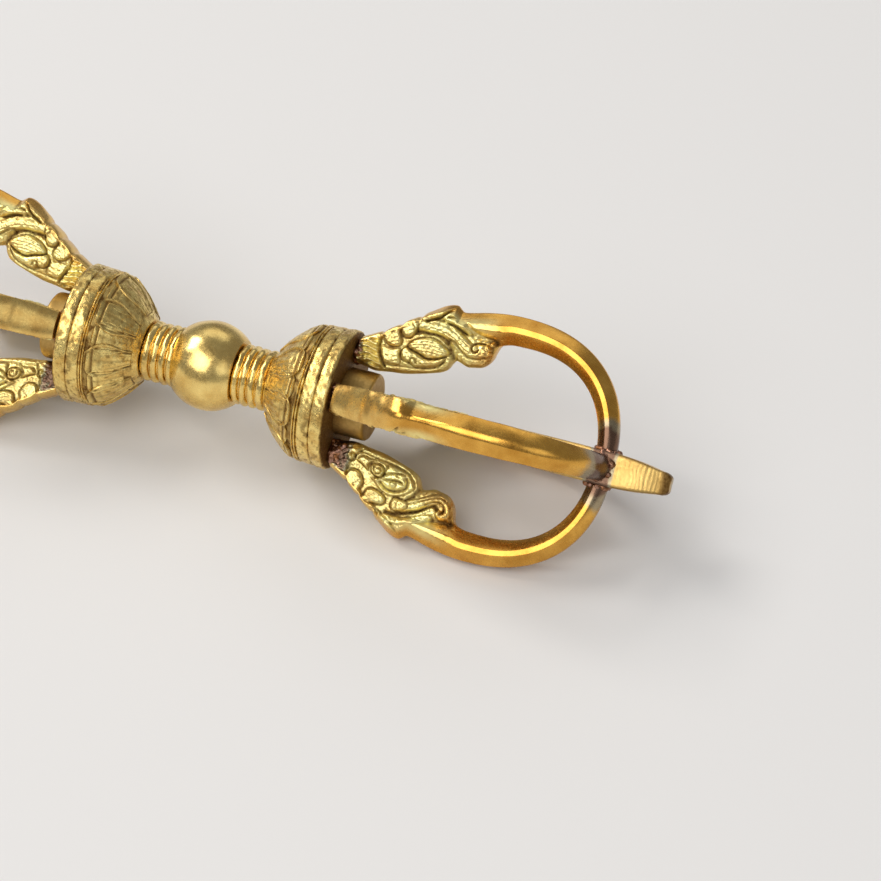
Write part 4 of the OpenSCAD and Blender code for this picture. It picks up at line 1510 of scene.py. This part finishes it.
class VAJRA_OT_bosses(bpy.types.Operator):
    """Round bosses on the end faces"""

    bl_idname = "vajra.bosses"
    bl_label = "Bosses"

    def execute(self, context):
        cast = context.scene.vajra_sizes.cast_wobble / MM
        turn = np.linspace(0, math.pi / 2, 7)
        corner_x = BOSS_END - BOSS_ROUND + BOSS_ROUND * np.sin(turn)
        corner_r = BOSS_R - BOSS_ROUND + BOSS_ROUND * np.cos(turn)
        corner = np.stack([corner_x, corner_r], axis=1)
        outline = np.vstack([[[BULB_END, BORE_R], [BULB_END, BOSS_R]], corner, [[BOSS_END, BORE_R]]])

        def relief(points, x, r):
            return np.where(r > BORE_R + 0.3, cast * (layered(points, BOSS_LAYERS) - BOSS_SINK), 0)

        points, faces = turned(dense(outline, BOSS_STEP), TURN_STEPS, relief)
        # Painted shade: the boss is browned all over as the shade it lies in among the prong roots, most at
        # its foot on the end face
        values = {"crevice": 0.4 + 0.3 * bell(points[:, 0] - BULB_END, 0.8)}
        for label, side in SIDES.items():
            name = f"boss_{label}"
            mesh = make_mesh(name, placed(points, 0, side), faces, bar_brass(), values)
            add_piece(name, mesh, "bar_brass", f"socket_boss_{label}")
        return {"FINISHED"}


# Central prong: step between its rings and points on each, half widths of the square bar at the boss, at the
# crossing and where its end begins to round, length of the round end and how far it narrows, and the tang
BAR_STEP = 0.14
BAR_ACROSS = 96
BAR_ROOT_HALF = 2.1
BAR_HALF = 2.35
BAR_TIP_HALF = 1.6
BAR_TIP_ROUND = 1.5
BAR_TIP_NARROWS = 0.8
TANG_R = 2.0
TANG_RINGS = 8
# Powers of the bar's section: a circle, a square with small corners and a softer square
CIRCLE = 2.0
SQUARE = 18.0
SOFT_SQUARE = 5.0
# Unevenness of the bar, and file marks: pitch, share, drift, uneven depth and the soft step where they begin
BAR_LAYERS = ((1.1, 4.0, 42),)
BAR_SINK = 2.0
FILE_PITCH = 0.55
FILE_SHARE = 0.32
FILE_DRIFT = ((4.5, 3.0, 43),)
FILE_DEPTH = ((1.0, 1.6, 44),)
FILED_FROM = (1.5, 5)
# Brown on the bar: its length at the end and the fade of its uneven border, the bare middle of the end, the
# corners, the foot by the boss, and the heat beside the crossing
END_BROWN_LEN = 1.6
END_BROWN_FADE = 0.8
END_BROWN_LAYERS = ((0.4, 1.5, 45),)
END_FACE_FROM = (-0.3, 0.2)
END_MIDDLE = (1.1, 0.35)
CORNER_FROM = (0.84, 0.12)
CORNER_BROWN = 0.8
FOOT_LEN = 0.9
FOOT_BROWN = 0.7
BAR_HEAT = (2.6, 1.6)


def bar_stations():
    """Stations of a central prong's rings, with their half widths and the powers of their sections."""
    end_from = TIP_END - BAR_TIP_ROUND
    body = np.arange(BOSS_END, end_from, BAR_STEP)
    t = np.clip((body - CROSSING) / (end_from - CROSSING), 0, 1)
    swell = np.interp(body, [BOSS_END, CROSSING], [BAR_ROOT_HALF, BAR_HALF])
    half = np.where(body < CROSSING, swell, BAR_HALF + (BAR_TIP_HALF - BAR_HALF) * t * t)
    turn = np.linspace(0, math.pi / 2, 10)[1:]
    end_x = TIP_END - BAR_TIP_ROUND * (1 - np.sin(turn))
    end_half = BAR_TIP_HALF - BAR_TIP_NARROWS * (1 - np.cos(turn))
    end_power = np.linspace(SQUARE, SOFT_SQUARE, len(turn))
    tang_x = np.linspace(TANG_START, BOSS_END - 0.05, TANG_RINGS)
    stations = np.concatenate([tang_x, body, end_x])
    halves = np.concatenate([np.full(TANG_RINGS, TANG_R), half, end_half])
    powers = np.concatenate([np.full(TANG_RINGS, CIRCLE), np.full(len(body), SQUARE), end_power])
    return stations, halves, powers


def bar_rings(cast):
    """Rings of a central prong with uneven faces, and file marks towards its end."""
    angle = np.linspace(0, 2 * math.pi, BAR_ACROSS, endpoint=False)
    c, s = np.abs(np.cos(angle)), np.abs(np.sin(angle))
    rings = []
    for station, half, power in zip(*bar_stations()):
        r = half / (c**power + s**power) ** (1 / power)
        rings.append(np.stack([np.full_like(r, station), r * np.cos(angle), r * np.sin(angle)], axis=1))
    rings = np.array(rings)
    x = rings[..., 0]
    out = rings.copy()
    out[..., 0] = 0
    out /= np.linalg.norm(out, axis=-1, keepdims=True)
    marks = np.sin(2 * math.pi * x / FILE_PITCH + layered(rings, FILE_DRIFT))
    marks = marks * rising(x - CROSSING, *FILED_FROM) * (1 + layered(rings, FILE_DEPTH))
    uneven = layered(rings, BAR_LAYERS) - BAR_SINK + FILE_SHARE * marks
    return rings + out * (cast * uneven * (x > BOSS_END))[..., None]


def bar_values(points):
    """Brown at the end, along the corners and at the foot of a central prong, and the heat of its joint."""
    x, y, z = np.abs(points).T
    border = layered(points, END_BROWN_LAYERS)
    end = smooth_step((x - TIP_END + END_BROWN_LEN + border) / END_BROWN_FADE)
    middle = rising(x - TIP_END, *END_FACE_FROM) * falling(np.hypot(y, z), *END_MIDDLE)
    corner = rising(np.minimum(y, z) / (np.maximum(y, z) + TINY), *CORNER_FROM)
    corner = CORNER_BROWN * corner * rising(x, CROSSING, 1.5)
    foot = bell(x - BOSS_END, FOOT_LEN) * FOOT_BROWN
    brown = np.clip(np.maximum(0.9 * end - middle, corner) + foot, 0, 1)
    heat = np.maximum(falling(np.abs(x - CROSSING), *BAR_HEAT), 0.5 * middle)
    return {"crevice": brown, "joint_heat": heat}


class VAJRA_OT_central_prongs(bpy.types.Operator):
    """Square central prongs with filed blunt ends"""

    bl_idname = "vajra.central_prongs"
    bl_label = "Central prongs"

    def execute(self, context):
        points, faces = loft(bar_rings(context.scene.vajra_sizes.cast_wobble / MM))
        values = bar_values(points)
        points = placed(points, 45)
        for label, side in SIDES.items():
            name = f"central_{label}"
            mesh = make_mesh(name, placed(points, 0, side), faces, bar_brass(), values)
            add_piece(name, mesh, "bar_brass", f"central_prong_{label}")
        return {"FINISHED"}


# Edges of a prong are shaded smooth up to a larger angle than on other pieces
PRONG_SHARP_EDGE = math.radians(70)


class VAJRA_OT_outer_prongs(bpy.types.Operator):
    """Curved outer prongs that grow out of carved sea-monster heads"""

    bl_idname = "vajra.outer_prongs"
    bl_label = "Outer prongs"

    def execute(self, context):
        sizes = context.scene.vajra_sizes
        for place, look in PRONGS.items():
            rings, ring_values = prong_rings(sizes.carving, sizes.cast_wobble / MM, look)
            points, faces = loft(rings)
            values = {}
            for key, v in ring_values.items():
                values[key] = np.append(v.reshape(-1), [v[0].mean(), v[-1].mean()])
            for label, side in SIDES.items():
                name = f"prong_{place}_{label}"
                at = placed(points, look["angle"], side)
                mesh = make_mesh(name, at, faces, prong_brass(), values, PRONG_SHARP_EDGE)
                add_piece(name, mesh, "prong_brass", f"outer_{name}")
        return {"FINISHED"}


def lump_tree(material):
    """Round lumps of uneven size on the points of a mesh."""
    tree, ids = geometry_tree("braze_lumps", [("Radius", VALUE), ("Spread", VALUE), ("Seed", WHOLE)])
    enter = add_node(tree, "NodeGroupInput", (-900, 0))
    dots = add_node(tree, "GeometryNodeMeshToPoints", (-600, 120), Mesh=enter["Geometry"])[0]
    ball = {"Subdivisions": 3, "Radius": enter["Radius"]}
    shape = add_node(tree, "GeometryNodeMeshIcoSphere", (-600, -160), **ball)[0]
    low = add_math(tree, "SUBTRACT", (-760, -360), 1.0, enter["Spread"])
    high = add_math(tree, "ADD", (-760, -520), 1.0, enter["Spread"])
    draw = {"i2": low, "i3": high, "Seed": enter["Seed"]}
    size = add_node(tree, "FunctionNodeRandomValue", (-560, -380), {"data_type": "FLOAT"}, **draw)[1]
    each = {"Points": dots, "Instance": shape, "Scale": size}
    copies = add_node(tree, "GeometryNodeInstanceOnPoints", (-240, 80), **each)[0]
    real = add_node(tree, "GeometryNodeRealizeInstances", (120, 80), i0=copies)[0]
    painted = add_node(tree, "GeometryNodeSetMaterial", (400, 80), Geometry=real, Material=material)[0]
    add_node(tree, "NodeGroupOutput", (900, 0), Geometry=painted)
    return tree, ids


# Skin over the lumps of braze: size of its cells, and how much it is smoothed
MELT_CELL = 0.0001
MELT_FACTOR = 0.5
MELT_TIMES = 7


def melt(holder):
    """Runs the lumps together into one smooth skin."""
    skin = holder.modifiers.new("skin", "REMESH")
    skin.mode = "VOXEL"
    skin.voxel_size = MELT_CELL
    soft = holder.modifiers.new("soft", "SMOOTH")
    soft.factor = MELT_FACTOR
    soft.iterations = MELT_TIMES


# Braze: middle and half size of a root's joint, counts of lumps, and how far braze creeps along a root whose
# tint reaches further than CREEP_FROM
ROOT_MIDDLE = 7.1
ROOT_HALF = 1.65
ROOT_SPOTS = 60
CREEP_SPOTS = 60
TIP_SPOTS = 64
CREEP_FROM = 2.0
CREEP_LEN = 1.6
# Ranges of the random places: turn, distance as a share and height of the lumps round a root, radius about
# the middle and distance to the side of the crept ones, and distance of those at a tip
ROOT_TURN = (0.9 * math.pi, 2.1 * math.pi)
ROOT_OUT = (0.85, 1.1)
ROOT_UP = (0.05, 0.9)
CREEP_R = (-1.5, 1.4)
CREEP_OUT = (1.6, 1.85)
TIP_OUT = (0.7, 1.2)
TIP_JITTER = 0.22
# Lumps in the middle of a root: their step and height; lumps at a tip: length, width, top and fall outwards
CORE_STEP = 0.7
CORE_UP = 0.25
TIP_LONG = 1.5
TIP_WIDE = 1.6
TIP_TOP_R = 2.9
TIP_FALL = 0.65
LUMP_SPREAD = 0.6
LUMP_SEED = 7
BRAZE_SEED = 51


def root_lumps(rng, root_tint):
    """Places of the lumps round one root and in its middle, and along its sides where the braze crept."""
    turn = rng.uniform(*ROOT_TURN, ROOT_SPOTS)
    out = ROOT_HALF * rng.uniform(*ROOT_OUT, ROOT_SPOTS)
    x = BULB_END + rng.uniform(*ROOT_UP, ROOT_SPOTS)
    spots = [np.stack([x, out * np.cos(turn), ROOT_MIDDLE + out * np.sin(turn)], axis=1)]
    for y in (-CORE_STEP, 0, CORE_STEP):
        for z in (-1.3 * CORE_STEP, 0, 1.3 * CORE_STEP):
            spots.append([[BULB_END + CORE_UP, y, ROOT_MIDDLE + z]])
    if root_tint > CREEP_FROM:
        side = rng.choice([-1, 1], CREEP_SPOTS)
        x = ROOT_X + CREEP_LEN * rng.uniform(0, 1, CREEP_SPOTS) ** 2
        r = ROOT_MIDDLE + rng.uniform(*CREEP_R, CREEP_SPOTS)
        spots.append(np.stack([x, side * rng.uniform(*CREEP_OUT, CREEP_SPOTS), r], axis=1))
    return np.vstack(spots)


def tip_lumps(rng):
    """Places of the lumps round and under one blade where it meets the central prong."""
    turn = rng.uniform(0, 2 * math.pi, TIP_SPOTS)
    out = rng.uniform(*TIP_OUT, TIP_SPOTS)
    x = CROSSING + TIP_LONG * out * np.sin(turn)
    spots = np.stack([x, TIP_WIDE * out * np.cos(turn), TIP_TOP_R - TIP_FALL * out], axis=1)
    core = [[CROSSING + x, y, TIP_TOUCH_R] for x in (-0.7, 0, 0.7) for y in (-0.8, 0, 0.8)]
    return np.vstack([spots + rng.uniform(-TIP_JITTER, TIP_JITTER, spots.shape), core])


class VAJRA_OT_braze(bpy.types.Operator):
    """Lumpy braze at the roots and tips of the outer prongs"""

    bl_idname = "vajra.braze"
    bl_label = "Braze"

    def execute(self, context):
        sizes = context.scene.vajra_sizes
        material = braze_metal()
        tree, ids = lump_tree(material)
        values = {"Radius": sizes.braze_lump, "Spread": LUMP_SPREAD, "Seed": LUMP_SEED}
        rng = np.random.default_rng(BRAZE_SEED)
        for kind in ("root", "tip"):
            for label, side in SIDES.items():
                all_spots = []
                for look in PRONGS.values():
                    spots = root_lumps(rng, look["root_tint"]) if kind == "root" else tip_lumps(rng)
                    all_spots.append(placed(spots, look["angle"], side))
                dots = bpy.data.meshes.new("braze_spots")
                dots.from_pydata((np.vstack(all_spots) * MM).tolist(), [], [])
                dots.materials.append(material)
                name = f"braze_{kind}_{label}"
                mesh = grown_mesh(name, dots, tree, values, ids, melt)
                mesh.materials.clear()
                mesh.materials.append(material)
                mesh.shade_smooth()
                add_piece(name, mesh, "braze", f"{kind}_braze_{label}")
        return {"FINISHED"}


class VAJRA_OT_core_rod(bpy.types.Operator):
    """Finish of the core rod inside the grip"""

    bl_idname = "vajra.core_rod"
    bl_label = "Core rod"

    def execute(self, context):
        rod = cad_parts["core_rod"]
        rod.data.materials.clear()
        rod.data.materials.append(bar_brass())
        return {"FINISHED"}


# Lamps: place, width and height, power and colour; all of them point at LIT_PLACE
LIT_PLACE = (0.02, 0, 0)
LAMPS = {
    "key": ((-1.18, 0.20, 1.30), (0.90, 0.75), 15.3, (1.0, 0.97, 0.93)),
    "fill": ((1.04, -0.72, 0.72), (0.78, 0.78), 1.7, (0.93, 0.96, 1.0)),
    "front": ((-0.40, -0.99, 1.17), (1.35, 1.17), 13.2, (1.0, 0.98, 0.95)),
    "back": ((-0.16, 1.04, 0.99), (1.17, 0.72), 2.0, (1.0, 0.99, 0.97)),
}
SKY_COLOUR = (0.96, 0.97, 1.0, 1)
SKY_STRENGTH = 0.26
FLOOR_HALF = 3.0
FLOOR_GAP = 0.00001
FLOOR_ROUGH = 0.85
FLOOR_SHINE = 0.2
SENSOR_WIDTH = 36
CLIP_START = 0.01


def look_at(place, target):
    """Turn of a camera or a lamp that looks from one place at another."""
    return (Vector(target) - Vector(place)).to_track_quat("-Z", "Y")


def soft_light(name, place, size, power, colour):
    """A rectangular lamp that points at the vajra."""
    lamp = bpy.data.lights.new(name, "AREA")
    lamp.shape = "RECTANGLE"
    lamp.size, lamp.size_y = size
    lamp.energy = power
    lamp.color = colour
    holder = bpy.data.objects.new(name, lamp)
    bpy.context.scene.collection.objects.link(holder)
    holder.location = place
    holder.rotation_euler = look_at(place, LIT_PLACE).to_euler()


def add_camera(scene, stage):
    """The camera of the picture."""
    lens = bpy.data.cameras.new("camera")
    lens.lens = stage.focal_length
    lens.sensor_width = SENSOR_WIDTH
    lens.clip_start = CLIP_START
    camera = bpy.data.objects.new("camera", lens)
    scene.collection.objects.link(camera)
    level = look_at(stage.camera_place, stage.camera_target).to_matrix()
    turn = level @ Matrix.Rotation(stage.camera_roll, 3, "Z")
    camera.matrix_world = Matrix.Translation(stage.camera_place) @ turn.to_4x4()
    scene.camera = camera


def add_floor(scene, stage):
    """A pale floor just under the lower prongs."""
    material = bpy.data.materials.new("pale_floor")
    material.use_nodes = True
    shader = material.node_tree.nodes["Principled BSDF"]
    shader.inputs["Base Color"].default_value = stage.floor_colour
    shader.inputs["Roughness"].default_value = FLOOR_ROUGH
    shader.inputs["Specular IOR Level"].default_value = FLOOR_SHINE
    z = CAD_BOX[0][2] - FLOOR_GAP
    corners = [(FLOOR_HALF * x, FLOOR_HALF * y, z) for x, y in ((-1, -1), (1, -1), (1, 1), (-1, 1))]
    mesh = bpy.data.meshes.new("floor")
    mesh.from_pydata(corners, [], [(0, 1, 2, 3)])
    mesh.materials.append(material)
    floor = bpy.data.objects.new("floor", mesh)
    scene.collection.objects.link(floor)


class VAJRA_OT_stage(bpy.types.Operator):
    """Camera, pale floor and soft light"""

    bl_idname = "vajra.stage"
    bl_label = "Stage"

    def execute(self, context):
        scene = context.scene
        scene.view_settings.view_transform = "Standard"
        add_camera(scene, scene.vajra_stage)
        add_floor(scene, scene.vajra_stage)
        world = bpy.data.worlds.new("studio")
        world.use_nodes = True
        sky = world.node_tree.nodes["Background"]
        sky.inputs["Color"].default_value = SKY_COLOUR
        sky.inputs["Strength"].default_value = SKY_STRENGTH
        scene.world = world
        for name, lamp in LAMPS.items():
            soft_light(name, *lamp)
        return {"FINISHED"}


class VAJRA_PT_panel(bpy.types.Panel):
    """Pieces of the vajra"""

    bl_idname = "VAJRA_PT_panel"
    bl_label = "Dorje Vajra"
    bl_space_type = "VIEW_3D"
    bl_region_type = "UI"
    bl_category = "Vajra"

    def draw(self, context):
        for group in (context.scene.vajra_sizes, context.scene.vajra_finish, context.scene.vajra_stage):
            box = self.layout.box()
            for key in group.__annotations__:
                box.prop(group, key)
        for operator in OPERATORS:
            self.layout.operator(operator.bl_idname)


OPERATORS = (
    VAJRA_OT_stage,
    VAJRA_OT_core_rod,
    VAJRA_OT_globe,
    VAJRA_OT_collars,
    VAJRA_OT_bulbs,
    VAJRA_OT_bosses,
    VAJRA_OT_central_prongs,
    VAJRA_OT_outer_prongs,
    VAJRA_OT_braze,
)
GROUPS = {"vajra_sizes": VajraSizes, "vajra_finish": VajraFinish, "vajra_stage": VajraStage}


def register():
    """Adds the classes, and the groups of properties to the scene."""
    for cls in (*GROUPS.values(), *OPERATORS, VAJRA_PT_panel):
        bpy.utils.register_class(cls)
    for name, cls in GROUPS.items():
        setattr(bpy.types.Scene, name, bpy.props.PointerProperty(type=cls))


def unregister():
    """Takes everything out again in the other order."""
    for name in GROUPS:
        delattr(bpy.types.Scene, name)
    for cls in reversed((*GROUPS.values(), *OPERATORS, VAJRA_PT_panel)):
        bpy.utils.unregister_class(cls)


def main():
    """Builds every piece and the stage."""
    register()
    for operator in OPERATORS:
        group, name = operator.bl_idname.split(".")
        getattr(getattr(bpy.ops, group), name)()


if __name__ == "__main__":
    main()
